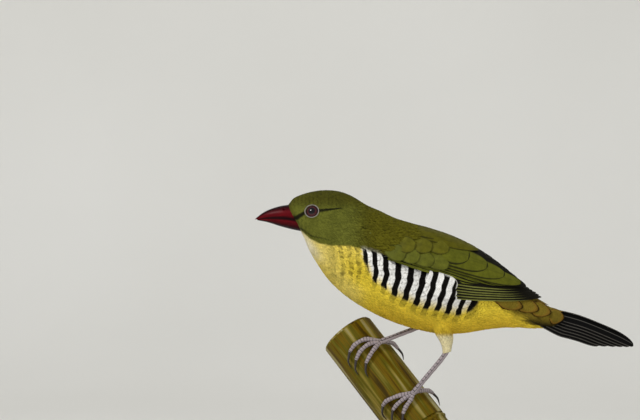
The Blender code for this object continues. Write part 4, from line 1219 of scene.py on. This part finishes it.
# The arm reaches between these sections of the body, and is so thick.
ARM_SECTIONS = (7.2, 12.2)
ARM_THICK = 1.25
BACK_LIMIT = math.radians(7)
VANE_STEPS = 22
# How the barbs slant from the shaft and how often they repeat. They are drawn 0.26 mm apart to show.
VANE_BARBS = (0.9, 24.0)
VANE_ACROSS = np.array([-1.0, -0.72, -0.42, -0.14, -0.05, 0.05, 0.14, 0.42, 0.72, 1.0])

# Rows of wing feathers seen from the side, lowest first: primaries, secondaries, the dark row that
# shows behind the tertials, tertials, and the coverts. Each has its count, first and last root,
# first and last tip, first and last width, height over the body, rise to the next feather, tip
# shape, bow, colour, then how far across the black inner web comes, how strong the lower rim and all
# dark lines are, and how uneven the tips are.
WING_ROWS = [
    (6, (10.0, 57.0), (10.2, 60.9), (34.2, 56.5), (30.2, 59.2), (2.8, 2.8), 0.68, 0.14, 0.5, 0.0,
     "#74763A", 0.79, 0.0, 0.9, 0.0),
    (6, (-5.5, 67.3), (-1.0, 70.6), (17.4, 60.4), (27.4, 59.9), (3.2, 3.2), 1.48, 0.11, 0.75, -0.3,
     "#62651E", 0.62, 0.6, 0.9, 0.2),
    (6, (6.0, 66.8), (8.0, 70.4), (30.2, 59.3), (20.0, 67.4), (4.2, 4.6), 1.98, 0.07, 0.5, -0.8,
     "#3F3A1A", 0.86, 0.0, 0.9, 0.0),
    (4, (3.2, 67.0), (2.6, 71.2), (29.0, 59.7), (15.2, 66.9), (3.9, 6.2), 2.40, 0.11, 0.65, 0.0,
     "#5C5E18", -1.6, 0.98, 0.85, 0.2),
    (3, (-3.0, 75.0), (0.0, 73.4), (12.6, 71.9), (18.0, 69.1), (3.4, 3.4), 2.80, 0.06, 0.6, 0.0,
     "#57530F", -1.6, 0.97, 0.6, 0.1),
    (4, (-6.0, 69.2), (3.2, 67.6), (-1.2, 67.2), (10.1, 64.7), (3.8, 3.8), 2.85, -0.05, 0.5, 0.1,
     "#5D5F1E", -1.6, 0.97, 0.45, 0.15),
    (3, (-4.0, 71.2), (3.8, 71.2), (1.6, 69.3), (10.3, 68.7), (4.0, 4.0), 3.0, -0.05, 0.5, 0.1,
     "#5E5B16", -1.6, 0.97, 0.45, 0.15),
]


def blade_part(points, normals, across, thick):
    """A closed thin blade from rows of points across it, with its inner face under them."""
    rows, columns = points.shape[:2]
    shaft = np.exp(-(across / 0.07) ** 2)
    top = points + normals * (thick[:, None] * (0.5 + 0.5 * (1 - across ** 2) + 0.6 * shaft))[..., None]
    low = points - normals * (thick[:, None] * 0.5 * np.ones(columns))[..., None]
    flat = np.concatenate([top.reshape(-1, 3), low.reshape(-1, 3)])
    size = rows * columns
    faces = grid_faces(rows, columns)
    faces += [[index + size for index in face[::-1]] for face in grid_faces(rows, columns)]
    edge = ([(0, column) for column in range(columns)] + [(row, columns - 1) for row in range(1, rows)]
            + [(rows - 1, column) for column in range(columns - 2, -1, -1)]
            + [(row, 0) for row in range(rows - 2, 0, -1)])
    rim = [row * columns + column for row, column in edge]
    faces += [[rim[index], rim[(index + 1) % len(rim)], rim[(index + 1) % len(rim)] + size,
               rim[index] + size] for index in range(len(rim))]
    return flat, faces


def feather_outline(share, tip):
    """A feather's share of its full width: narrower at the root, and round from tip on."""
    rise = mix(0.75, 1.0, soft(0.0, 0.35, share))
    end = np.sqrt(np.maximum(1.0 - ((share - tip) / (1.0 - tip)) ** 2, 0.0))
    return rise * np.where(share <= tip, 1.0, end)


def vane_marks(share, length):
    """How far along and across a vane each of its points is, and its distance to the tip."""
    left = (1.0 - share[:, None] / share[-1]) * length
    blade = np.stack(np.broadcast_arrays(share[:, None], VANE_ACROSS[None], left), -1)
    return np.tile(blade.reshape(-1, 3), (2, 1))


def wing_vane(root, tip, width, lift, tip_shape, bow, drop):
    """One wing feather over the body's left side, its root lower by drop, and its points' marks."""
    share = 0.997 * (1.0 - np.linspace(1, 0, VANE_STEPS + 1) ** 1.5)
    root, tip = np.array(root), np.array(tip)
    line = mix(root[None], tip[None], share[:, None])
    square = np.array([-(tip - root)[1], (tip - root)[0]]) / np.linalg.norm(tip - root)
    line = line - square * (bow * np.sin(math.pi * share))[:, None]
    height = lift - drop * (1.0 - soft(0.0, 1.0, share * 1.7))
    place, angle = seen_over(line[:, 0], line[:, 1], height * wing_swell(line[:, 0]))
    angle = np.maximum(angle, BACK_LIMIT)
    ahead = np.gradient(body_points(place, angle, False), axis=0)
    across = unit(np.cross(ahead, body_normals(place, angle, False)))
    outline = feather_outline(share, tip_shape)
    points, normals = [], []
    for column in VANE_ACROSS:
        spot = beside(place, angle, across * (width / 2 * outline * column)[:, None])
        flat = body_normals(*spot, False)
        base = body_points(*spot, False)
        over = kept_under(base, flat, (height - 0.05 * outline * column ** 2) * wing_swell(base[:, 0]))
        points.append(base + flat * over[:, None])
        normals.append(flat)
    points, normals = np.stack(points, 1), np.stack(normals, 1)
    flat, faces = blade_part(points, normals, VANE_ACROSS, 0.12 * (1.0 - 0.6 * share))
    return flat, faces, vane_marks(share, np.linalg.norm(tip - root))


def wing_arm():
    """The wing's arm under its coverts: a thin closed swelling on the body's left side."""
    steps, columns = 40, 18
    share = np.linspace(0, 1, steps + 1)
    place = mix(*ARM_SECTIONS, share)
    angles = np.radians(np.arange(0, 181, 0.5))
    upper, lower = np.radians(mix(46, 28, soft(0, 1, share * 1.2))), []
    for spot in place:
        ring = body_points(np.full(len(angles), spot), angles, False)
        lower.append(angles[np.argmax(ring[:, 2] < along_line(WING_EDGE, ring[:, 0]))])
    lower = np.maximum(np.array(lower) - 0.06, upper + 0.1)
    full = mix(0.1, 1.0, np.sqrt(1.0 - (1.0 - np.minimum(share * 3.0, 1.0)) ** 2))
    middle = (upper + lower) / 2
    upper, lower = mix(middle, upper, full), mix(middle, lower, full)
    across = np.linspace(0, 1, columns + 1)
    angle = upper[:, None] + (lower - upper)[:, None] * across
    spot = np.repeat(place[:, None], columns + 1, 1)
    thick = ARM_THICK * np.minimum(full, 0.4 + (1 - share) * 1.5)
    crown = 0.1 + 0.9 * np.sin(math.pi * across) ** 0.6
    points, normals = body_points(spot, angle, False), body_normals(spot, angle, False)
    top = points + normals * (GAP - 0.1 + thick[:, None] * crown)[..., None]
    low = points - normals * 0.3
    rings = np.concatenate([top, low[:, ::-1]], 1)
    return rings.reshape(-1, 3), tube_faces(steps + 1, 2 * (columns + 1))


def atlas(blade, index, count):
    """A feather's own upright strip of the bake map."""
    strips = 16
    rows = math.ceil(count / strips)
    u = (index % strips + 0.5 + 0.42 * blade[:, 1]) / strips
    v = (index // strips + 0.04 + 0.92 * blade[:, 0]) / rows
    return np.stack([u, v, 0 * u], -1)


def make_wings(paint):
    """Both folded wings: the arm under rows of coverts, tertials, secondaries and primaries."""
    random = np.random.default_rng(SEED + 1)
    total = sum(row[0] for row in WING_ROWS) + 1
    points, faces = wing_arm()
    olive = np.tile(hex_colour("#5E6128"), (len(points), 1))
    blank = np.tile([0.5, 0.5, 0.0], (len(points), 1))
    parts = [(points, faces, {"plume": olive, "web": blank - 2.0, "blade": blank,
                              "patch": atlas(blank, 0, total)})]
    for (count, root_0, root_1, tip_0, tip_1, widths, lift, rise, tip_shape, bow, paint_hex, *web,
         uneven) in WING_ROWS:
        for index in range(count):
            share = index / (count - 1)
            root = mix(np.array(root_0), np.array(root_1), share)
            tip = mix(np.array(tip_0), np.array(tip_1), share) + random.normal(0, uneven, 2)
            points, faces, blade = wing_vane(root, tip, mix(*widths, share) * random.uniform(0.96, 1.04),
                                             lift + rise * index, tip_shape, bow,
                                             ROOT_SINK * max(lift - ROOT_LIFT, 0.0))
            colour = np.array(hex_colour(paint_hex)) * random.uniform(0.97, 1.03)
            parts.append((points, faces, {
                "plume": np.tile(colour, (len(points), 1)), "web": np.tile(np.array(web), (len(points), 1)),
                "blade": blade, "patch": atlas(blade, len(parts), total)}))
    points, faces, numbers = joined(parts)
    for side_name, side in SIDES.items():
        wing = shape(f"{side_name}_wing_feathers", points * np.array([1.0, side, 1.0]), faces, numbers)
        keep_bake_map(wing.data)
        finish_piece(wing, paint, "wing_feathers", f"wing_{side_name}", sharp=60)


def make_flank_end(paint):
    """The last flank feathers, which overlap the folded primaries: barred, with pale rims."""
    rows = [((4.6, 61.8), (12.4, 59.3), 3.8, 1.95), ((5.0, 59.2), (12.2, 57.2), 3.2, 1.75)]
    for side_name, side in SIDES.items():
        parts = []
        for root, tip, width, lift in rows:
            points, faces, blade = wing_vane(root, tip, width, lift, 0.6, 0.25, 0.4)
            place, angle = seen(np.array([root[0]]), np.array([root[1]]))
            patch = body_map(place, angle * side) + PATCH_SIZE * blade * np.array(PATCH_SHAPE)
            parts.append((points * np.array([1.0, side, 1.0]), faces, {"blade": blade, "patch": patch}))
        points, faces, numbers = joined(parts)
        piece = shape(f"flank_end_{side_name}", points, faces, numbers)
        keep_bake_map(piece.data)
        none = np.zeros(len(points))
        x, z = as_seen(points)
        below = np.maximum(z - along_line(CHEEK_LINE, x) + 0.7, 0.0)
        dress(piece.data, points - below[:, None] * np.array([0.0, 0.0, 1.0]), none, none, none)
        mark, blade = read_numbers(piece.data, "mark"), numbers["blade"]
        pale = 0.8 * np.maximum(soft(-0.4, -0.2, -blade[:, 2]), soft(0.9, 0.97, -blade[:, 1])
                                * (points[:, 2] > 60.3) * soft(0.4, 0.6, blade[:, 0]))
        mark[:, 1] *= 1.0 - pale
        colour = read_numbers(piece.data, "plume")
        colour[:, :3] = mix(colour[:, :3], rgb("#C9C6B8"), pale[:, None])
        keep_numbers(piece.data, {"mark": mark, "plume": colour})
        finish_piece(piece, paint, "yellow_plumage", sharp=60)


def tail_vane(pair, side):
    """One tail feather, counted from the middle, on a side of the roof that they make."""
    slope = np.array([0.0, side * math.cos(TAIL_ROOF), -math.sin(TAIL_ROOF)])
    reach = 1.0 - TAIL_STEP_SHORT * pair
    share = 0.99 * np.linspace(0, 1, VANE_STEPS + 1) ** 0.85
    along = mix(0.0, reach, share)
    spot = smooth_rows(TAIL_RIDGE, along * (len(TAIL_RIDGE) - 1))
    onward = smooth_rows(TAIL_RIDGE, along * (len(TAIL_RIDGE) - 1) + 0.02) - spot
    ahead = unit(np.stack([onward[:, 0], 0 * along, onward[:, 1]], -1))
    normal = unit(np.cross(slope, ahead))
    normal = normal * np.sign(normal[:, 2:3])
    down = mix(1.2 + 0.6 * pair, 1.4 + TAIL_STEP_DOWN * pair, soft(0.0, 1.0, share * 3.0))
    inward = mix(0.24 * pair, TAIL_STEP_IN * pair, share) + 0.3
    half = TAIL_FEATHER_WIDTH / 2 * feather_outline(share, 0.72)
    middle = (np.stack([spot[:, 0], 0 * along, spot[:, 1]], -1) + slope * down[:, None]
              - normal * inward[:, None])
    points = middle[:, None] + slope * (half[:, None] * VANE_ACROSS)[..., None]
    normals = np.repeat(normal[:, None], len(VANE_ACROSS), 1)
    flat, faces = blade_part(points, normals, VANE_ACROSS, 0.18 * (1.0 - 0.5 * share))
    return flat, faces, vane_marks(share, TAIL_FEATHER_LENGTH)


def make_tail(paint):
    """The closed tail: twelve feathers like roof tiles, over a short root behind the body."""
    rings, sides, total = [], 48, 2 * TAIL_PAIRS + 1
    end = body_points(np.full(sides, LAST), full_turn(sides), False)
    middle = end.mean(0)
    sink = np.array([TAIL_RIDGE[2][0], 0.0, TAIL_RIDGE[2][1] - 3.3]) - middle
    for reach, size in ((-0.1, 0.85), (0.1, 0.65), (0.3, 0.45), (0.5, 0.2)):
        rings.append(middle + sink * reach + (end - middle) * size)
    points = np.concatenate(rings)
    blank = np.tile([0.5, 0.5, 0.0], (len(points), 1))
    parts = [(points, tube_faces(len(rings), sides), {"blade": blank, "patch": atlas(blank, 0, total)})]
    for pair in range(TAIL_PAIRS):
        for side in (-1, 1):
            points, faces, blade = tail_vane(pair, side)
            parts.append((points, faces, {"blade": blade, "patch": atlas(blade, len(parts), total)}))
    points, faces, numbers = joined(parts)
    tail = shape("tail_vanes", points, faces, numbers)
    keep_bake_map(tail.data)
    finish_piece(tail, paint, "tail_feathers", "tail", sharp=60)


# Bill, eyes and lids

def mandible(name, edge, keel, tip, edge_tip, pits=()):
    """Half of the bill between the line of the mouth and its outer ridge."""
    rows = [(*a, *b, half) for a, b, half in zip(edge, keel, BILL_HALF_WIDTHS)]
    back = [mix(np.array(rows[0]), np.array(rows[1]), -0.45)]
    back[0][4] = 2.85
    rows = [tuple(back[0])] + rows + [(*edge_tip, *tip, 0.05)]
    steps, turns = 96, 64
    row = smooth_rows(rows, np.linspace(0, len(rows) - 1, steps + 1))
    turn = np.linspace(0, math.pi, turns + 1)
    rise = np.sin(turn) ** 0.8
    x = row[:, 0:1] + (row[:, 2:3] - row[:, 0:1]) * rise
    z = row[:, 1:2] + (row[:, 3:4] - row[:, 1:2]) * rise
    y = row[:, 4:5] * np.cos(turn) * np.ones((1, turns + 1))
    for spot_x, spot_z, radius, deep in pits:
        off = np.hypot(x - spot_x, (z - spot_z) * 1.5) / radius
        y = y * (1.0 - deep * (1.0 - soft(0.3, 1.2, off)))
    share = np.repeat(np.linspace(0, 1, steps + 1), turns + 1)
    blade = np.stack([share, np.tile(rise, steps + 1), 0 * share + (keel[0][1] < edge[0][1])], -1)
    return shape(name, np.stack([x, y, z], -1), numbers={"blade": blade})


def make_bill(paint):
    """The closed bill, with the nostrils as shallow pits."""
    tip_x, tip_z = BILL_TIP
    upper = mandible("upper_mandible", MOUTH_LINE, CULMEN, (tip_x, tip_z + 0.05), (tip_x, tip_z - 0.05),
                     ((*NOSTRIL, 0.4, 0.22),))
    finish_piece(upper, paint, "crimson_bill", "bill_upper")
    edge = [(x + 0.1, z + 0.03) for x, z in MOUTH_LINE]
    tip_x, tip_z = LOWER_TIP
    lower = mandible("lower_mandible", edge, UNDER_BILL, (tip_x, tip_z + 0.25), (tip_x, tip_z + 0.62))
    finish_piece(lower, paint, "crimson_bill", "bill_lower")


def make_eyes(glass, lid_skin):
    """Two domed eyes, each in a ring of bare beaded skin."""
    place, angle = eye_spot()
    for side_name, side in SIDES.items():
        spot = np.array([place]), np.array([angle * side])
        out = body_normals(*spot)[0]
        surface = body_points(*spot)[0]
        centre = surface - out * (EYE_RADIUS - EYE_PROUD)
        across = unit(np.cross(out, np.array([0.0, 0.0, 1.0])))
        up = np.cross(across, out)
        rings, sides = 41, 64
        polar = np.linspace(0.001, math.pi - 0.001, rings)
        turn = full_turn(sides)
        swell = EYE_RADIUS * (1.0 + 0.05 * np.exp(-(polar / 0.5) ** 2))
        ring = across * np.cos(turn)[:, None] + up * np.sin(turn)[:, None]
        points = (centre + out * (np.cos(polar) * swell)[:, None, None]
                  + ring[None] * (np.sin(polar) * swell)[:, None, None])
        gaze = np.repeat(np.sin(polar) * (polar < 1.6) + (polar >= 1.6), sides)
        eye = shape(f"eyeball_{side_name}", points, numbers={"gaze": gaze})
        finish_piece(eye, glass, "eye_gloss", f"eye_{side_name}", sharp=180)

        # The bare lid ring: two soft folds with small beads round it.
        count, sides = 112, 18
        turn = full_turn(count)
        tube = full_turn(sides)
        ring = across * np.cos(turn)[:, None] * 1.04 + up * np.sin(turn)[:, None] * 0.96
        bead = LID_THICK * (1.0 + 0.08 * np.cos(turn * LID_BEADS) + 0.08 * np.cos(turn * 5 + 1))
        reach = LID_RING + bead[:, None] * np.cos(tube)
        high = bead[:, None] * np.sin(tube) * 1.1 + 0.02
        points = surface + ring[:, None] * reach[..., None] + out * high[..., None]
        faces = grid_faces(count, sides, True)
        faces += [[(count - 1) * sides + index, (count - 1) * sides + (index + 1) % sides,
                   (index + 1) % sides, index] for index in range(sides)]
        plate = np.repeat(0.5 + 0.5 * np.cos(turn * LID_BEADS), sides) * 0.4 + 0.35
        lid = shape(f"lid_ring_{side_name}", points, faces, {"plate": plate})
        finish_piece(lid, lid_skin, "leg_skin", sharp=180)


# Legs and claws

def stem_axes():
    """The stem's axis, and square to it the ways to the right in the plate and to its viewer."""
    axis = unit(STEM_LEAN * math.cos(STEM_RECEDES) + np.array([0, math.sin(STEM_RECEDES), 0]))
    right = np.array([STEM_LEAN[2], 0.0, -STEM_LEAN[0]])
    facing = unit(np.cross(right, axis))
    return axis, right, facing * (-1 if facing[1] > 0 else 1)


def on_stem(along, around, lift):
    """A point over the stem: around counts degrees from the viewer's side to the right."""
    axis, right, facing = stem_axes()
    turn = math.radians(around)
    out = facing * math.cos(turn) + right * math.sin(turn)
    return STEM_POINT + axis * along + out * (STEM_RADIUS + lift)


def toe_joints(side, toe):
    """A toe's points over the stem, from its base to its claw."""
    places = [TOE_BASE[side]] + TOES[side][toe][:3]
    lifts = [TOE_RADIUS + GAP + rise for rise in (0.3, 0.15, 0.0, -0.05)]
    return [on_stem(*place, lift) for place, lift in zip(places, lifts)]


def scaled_limb(path, radii, upward, spacing, sides):
    """A limb's skin: overlapping plates along its upper side, and soft pads under it."""
    run = run_along(path)
    ring = rings_round(path, sides)
    facing = (ring * unit(upward)[:, None]).sum(-1)
    beat = (run / spacing) % 1.0
    step = soft(0.0, 0.22, beat) * (1.0 - 0.55 * soft(0.22, 1.0, beat))
    front = soft(-0.1, 0.5, facing)
    pad = soft(0.1, 0.8, -facing) * np.abs(np.sin(run / spacing / 2.2 * math.pi))[:, None]
    radius = radii[:, None] * (1.0 + 0.09 * step[:, None] * front + 0.1 * pad)
    points = path[:, None] + ring * radius[..., None]
    plate = mix(1.0, soft(0.0, 0.28, np.minimum(beat, 1 - beat))[:, None] * np.ones((1, sides)), front)
    edge = 1.0 - np.exp(-((facing - 0.1) / 0.2) ** 2)
    return points, (plate * edge).ravel()


def make_legs(skin_paint):
    """Legs and toes under one scaled skin."""
    for side in TOES:
        foot = on_stem(*TOE_BASE[side], TOE_RADIUS + GAP + 0.3)
        heel = HEEL[side]
        root = heel + unit(thigh_path(side)[-4] - heel) * 1.0
        rings = 90
        path = through([root, mix(heel, foot, 0.12), mix(heel, foot, 0.6), foot], rings)
        share = np.linspace(0, 1, rings)
        radii = np.interp(share, [0, 0.12, 0.3, 0.8, 0.93, 1.0], [0.62, 0.74, 0.62, 0.60, 0.7, 0.62])
        forward = np.tile([-0.8, 0.0, 0.6], (rings, 1))
        points, plate = scaled_limb(path, radii, forward, SCUTE_LENGTH, 22)
        leg = shape(f"{side}_leg_scutes", points, numbers={"plate": plate})
        toes, rings = [], 64
        for toe in TOES[side]:
            path = through(toe_joints(side, toe), rings)
            share = np.linspace(0, 1, rings)
            plump = np.interp(share, [0, 0.2, 0.36, 0.5, 0.68, 0.82, 0.95, 1.0],
                              [1.1, 0.95, 1.1, 0.92, 1.06, 0.86, 0.78, 0.4])
            axis = stem_axes()[0]
            outward = path - (STEM_POINT + axis * ((path - STEM_POINT) @ axis)[:, None])
            points, plate = scaled_limb(path, TOE_RADIUS * plump, outward, TOE_SCUTE_LENGTH, 18)
            toes.append(shape("toe", points, numbers={"plate": plate}))
        united(leg, toes)
        finish_piece(leg, skin_paint, "leg_skin", f"leg_{side}", sharp=180)


def make_claws(horn):
    """Curved claws on every toe."""
    for side in TOES:
        parts, rings, sides = [], 26, 14
        for toe in TOES[side]:
            joints = toe_joints(side, toe)
            ahead = unit(joints[-1] - joints[-2])
            root = joints[-1] - ahead * 0.15
            tip = on_stem(*TOES[side][toe][3], GAP + 0.05)
            away = unit(on_stem(*TOES[side][toe][3], 2.0) - tip)
            middle = mix(root, tip, 0.45) + ahead * 0.5 + away * 0.35
            path = through([root, middle, tip], rings)
            share = np.linspace(0, 1, rings)
            radii = CLAW_RADIUS * (1.05 - 0.98 * share ** 1.7)
            points = path[:, None] + rings_round(path, sides, 0.8) * radii[:, None, None]
            parts.append((points.reshape(-1, 3), tube_faces(rings, sides),
                          {"reach": np.repeat(share, sides)}))
        points, faces, numbers = joined(parts)
        claws = shape(f"{side}_claws", points, faces, numbers)
        finish_piece(claws, horn, "claw_horn", *[f"claw_{side}_{toe}" for toe in TOES[side]], sharp=70)


# Perch and stand

def turned(profile, sides, centre, axes):
    """Rings of points turned round an axis, from (radius, height) pairs, and their places in its
    own axes."""
    along, right, facing = axes
    turn = full_turn(sides)
    radius, high = np.array(profile, float).T
    ring = facing * np.cos(turn)[:, None] + right * np.sin(turn)[:, None]
    points = centre + along * high[:, None, None] + ring[None] * radius[:, None, None]
    strand = np.stack(np.broadcast_arrays(radius[:, None] * np.cos(turn), radius[:, None] * np.sin(turn),
                                          high[:, None]), -1)
    return points, strand


def make_stem(paint):
    """A cut length of reed: ribbed skin, a node ring, a wrapped leaf sheath and hollow ends."""
    axes = stem_axes()
    high = np.concatenate([[STEM_LOW], np.linspace(STEM_LOW + 0.15, STEM_HIGH - 0.15, 150), [STEM_HIGH]])
    ring = (0.42 * np.exp(-((high - NODE_RING) / 0.42) ** 2)
            - 0.12 * np.exp(-((high - NODE_RING - 1.0) / 0.5) ** 2))
    outer = REED_SKIN + ring - 0.1 * ((high < STEM_LOW + 0.1) | (high > STEM_HIGH - 0.1))
    hollow = [(0.02, HOLLOW_DEPTH), (REED_HOLLOW - 0.55, HOLLOW_DEPTH - 0.2),
              (REED_HOLLOW - 0.15, HOLLOW_DEPTH - 0.8), (REED_HOLLOW, 0.0)]
    profile = ([(radius, STEM_LOW + deep) for radius, deep in hollow] + list(zip(outer, high))
               + [(radius, STEM_HIGH - deep) for radius, deep in hollow[::-1]])
    sides = 160
    points, strand = turned(profile, sides, STEM_POINT, axes)
    radius = np.linalg.norm(strand[..., :2], axis=-1)
    turn = full_turn(sides)
    ribs = 0.03 * np.sin(turn * 40 + 1.5 * np.sin(strand[..., 2] * 0.12)) * (radius > REED_SKIN - 0.62)
    out = points - (STEM_POINT + axes[0] * strand[..., 2:3])
    points = points + out / np.maximum(radius, 0.1)[..., None] * ribs[..., None]
    cut_face = (radius < REED_SKIN - 0.52).astype(float)
    parts = [(points.reshape(-1, 3), tube_faces(len(profile), sides),
              {"strand": strand.reshape(-1, 3), "cut face": cut_face.reshape(-1)})]

    # The sheath: a thin leaf base wrapped round the stem from the node upwards.
    rows, columns = 90, 90
    share = np.linspace(0, 1, rows)
    high = mix(SHEATH_START, STEM_HIGH - 0.6, share)
    start, end = np.radians(-62) + 0.05 * np.sin(share * 9), np.radians(205) - 0.5 * share
    angle = start[:, None] + (end - start)[:, None] * np.linspace(0, 1, columns)
    edge = np.minimum(np.linspace(0, 1, columns), np.linspace(1, 0, columns)) * columns
    lift = 0.1 + 0.13 * soft(0, 5, edge)
    rib = 0.02 * np.sin(angle * 34)
    ring = (axes[2] * np.cos(angle)[..., None] + axes[1] * np.sin(angle)[..., None])
    middle = STEM_POINT + axes[0] * high[:, None, None]
    over = middle + ring * (REED_SKIN + lift + rib)[..., None]
    under = middle + ring * (REED_SKIN - 0.07)
    loop = np.concatenate([over, under[:, ::-1]], 1)
    # Its fibres are other ones than those of the stem beneath.
    strand = np.stack(np.broadcast_arrays(7.2 * np.cos(angle + 0.7), 7.2 * np.sin(angle + 0.7),
                                          high[:, None] + 30.0), -1)
    strand = np.concatenate([strand, strand[:, ::-1]], 1)
    parts.append((loop.reshape(-1, 3), tube_faces(rows, 2 * columns),
                  {"strand": strand.reshape(-1, 3), "cut face": np.zeros(rows * 2 * columns)}))
    points, faces, numbers = joined(parts)
    stem = shape("reed_stem", points, faces, numbers)
    finish_piece(stem, paint, "reed_stem", "perch_stem", sharp=45)


def make_stand(wood, steel):
    """A moulded base and two rods with collars."""
    upright = (np.array([0.0, 0.0, 1.0]), np.array([1.0, 0.0, 0.0]), np.array([0.0, -1.0, 0.0]))
    # The base's moulded edge, as steps in from its radius: a chamfer, a step, a round and a groove.
    steps = [(0.6, 0.0), (0.0, 0.6), (0.0, 3.4), (0.5, 3.9), (0.5, 4.4)]
    steps += [(3.4 - BASE_ROUND * math.cos(turn), BASE_HEIGHT - BASE_ROUND + BASE_ROUND * math.sin(turn))
              for turn in np.linspace(0, math.pi / 2, 15)]
    steps += [(6.0, BASE_HEIGHT), (6.3, BASE_HEIGHT - 0.3), (6.9, BASE_HEIGHT - 0.3), (7.2, BASE_HEIGHT)]
    profile = [(0.02, 0.0), *[(BASE_RADIUS - step, high) for step, high in steps], (0.02, BASE_HEIGHT)]
    base = shape("turned_base", turned(profile, 160, np.zeros(3), upright)[0])
    finish_piece(base, wood, "stand_wood", "stand_base", sharp=35)
    for name, along in ROD_AT.items():
        foot = STEM_POINT + stem_axes()[0] * along
        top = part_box(f"stand_rod_{name}")[1][2] / MM - 0.3
        low = BASE_HEIGHT + 0.02
        profile = [(0.02, low), (ROD_FOOT - 0.2, low), (ROD_FOOT, low + 0.2), (ROD_FOOT, low + 0.9),
                   (ROD_FOOT - 0.5, low + ROD_FOOT_HEIGHT - 0.1), (ROD_RADIUS + 0.5, low + ROD_FOOT_HEIGHT),
                   (ROD_RADIUS, low + ROD_FOOT_HEIGHT + 0.5), (ROD_RADIUS, top - 0.2),
                   (ROD_RADIUS - 0.2, top), (0.02, top)]
        rod = shape(f"steel_rod_{name}", turned(profile, 64, foot * np.array([1.0, 1.0, 0.0]), upright)[0])
        finish_piece(rod, steel, "stand_steel", f"stand_rod_{name}", sharp=35)


# Stage, light and camera

def make_stage():
    """A pale floor that curves up into a backdrop."""
    front, back, bend, top, half_width = -700.0, 260.0, 240.0, 900.0, 1500.0
    rows = [(front, 0.0), (back, 0.0)]
    rows += [(back + bend * math.sin(turn), bend - bend * math.cos(turn))
             for turn in np.linspace(0.1, math.pi / 2, 16)] + [(back + bend, top)]
    points = [(x, y, z) for y, z in rows for x in (-half_width, half_width)]
    mesh = bpy.data.meshes.new("pale backdrop")
    mesh.from_pydata((np.array(points) * MM).tolist(), [], grid_faces(len(rows), 2))
    stage = new_object("pale_backdrop", mesh)
    mesh.shade_smooth()
    paper, add = new_paint("matt pale paper", Roughness=0.95)
    mesh.materials.append(surfaced(paper, grained(add, (6.0,) * 3, 3.0, "#DEDCD5", "#E9E7E1")[1]))


def make_light(name, at, toward, size, power):
    """A round soft light. Places are in metres and power in watts."""
    lamp = bpy.data.lights.new(name, "AREA")
    lamp.shape, lamp.size, lamp.energy = "DISK", size, power
    made = bpy.data.objects.new(name, lamp)
    made.location = Vector(at)
    made.rotation_euler = (Vector(toward) - Vector(at)).to_track_quat("-Z", "Y").to_euler()
    bpy.context.scene.collection.objects.link(made)
    return made


def make_studio():
    """Pale room light, a window, two dim soft lights and the camera at the plate's viewpoint."""
    scene = bpy.context.scene
    scene.view_settings.view_transform = "Standard"
    scene.world = bpy.data.worlds.new("studio air")
    scene.world.use_nodes = True
    air = scene.world.node_tree.nodes["Background"].inputs
    air["Color"].default_value, air["Strength"].default_value = (0.93, 0.96, 1.0, 1.0), 0.42
    heart = (0.0, 0.0, 0.065)
    make_light("window light", (-0.55, -0.6, 0.75), heart, 0.3, 4.8)
    # Only the window is mirrored in the eyes.
    for dim in (make_light("fill light", (0.3, -0.9, 0.06), heart, 0.5, 3.0),
                make_light("back light", (0.2, 0.35, 0.7), heart, 0.4, 0.8)):
        dim.visible_glossy = False
    lens = bpy.data.cameras.new("plate camera")
    lens.lens, lens.sensor_width = 100.0, 36.0
    lens.clip_start = 0.01
    camera = bpy.data.objects.new("plate_camera", lens)
    camera.location = (VIEW_CENTRE[0] * MM, -VIEW_DISTANCE * MM, VIEW_CENTRE[1] * MM)
    camera.rotation_euler = (math.pi / 2, 0.0, 0.0)
    scene.collection.objects.link(camera)
    bpy.context.scene.camera = camera


def main():
    feathers = plumage_paint()
    make_skin(feathers)
    make_coat(feathers)
    make_wings(vane_paint())
    make_flank_end(feathers)
    make_tail(tail_paint())
    make_bill(bill_paint())
    make_eyes(eye_paint(), bare_skin_paint("lid skin", "#A59D93", "#736A61", 0.6))
    make_legs(bare_skin_paint("leg scutes", "#B7AAAB", "#82767A", 0.5))
    make_claws(claw_paint())
    make_stem(reed_paint())
    make_stand(wood_paint(), steel_paint())
    make_stage()
    make_studio()


main()
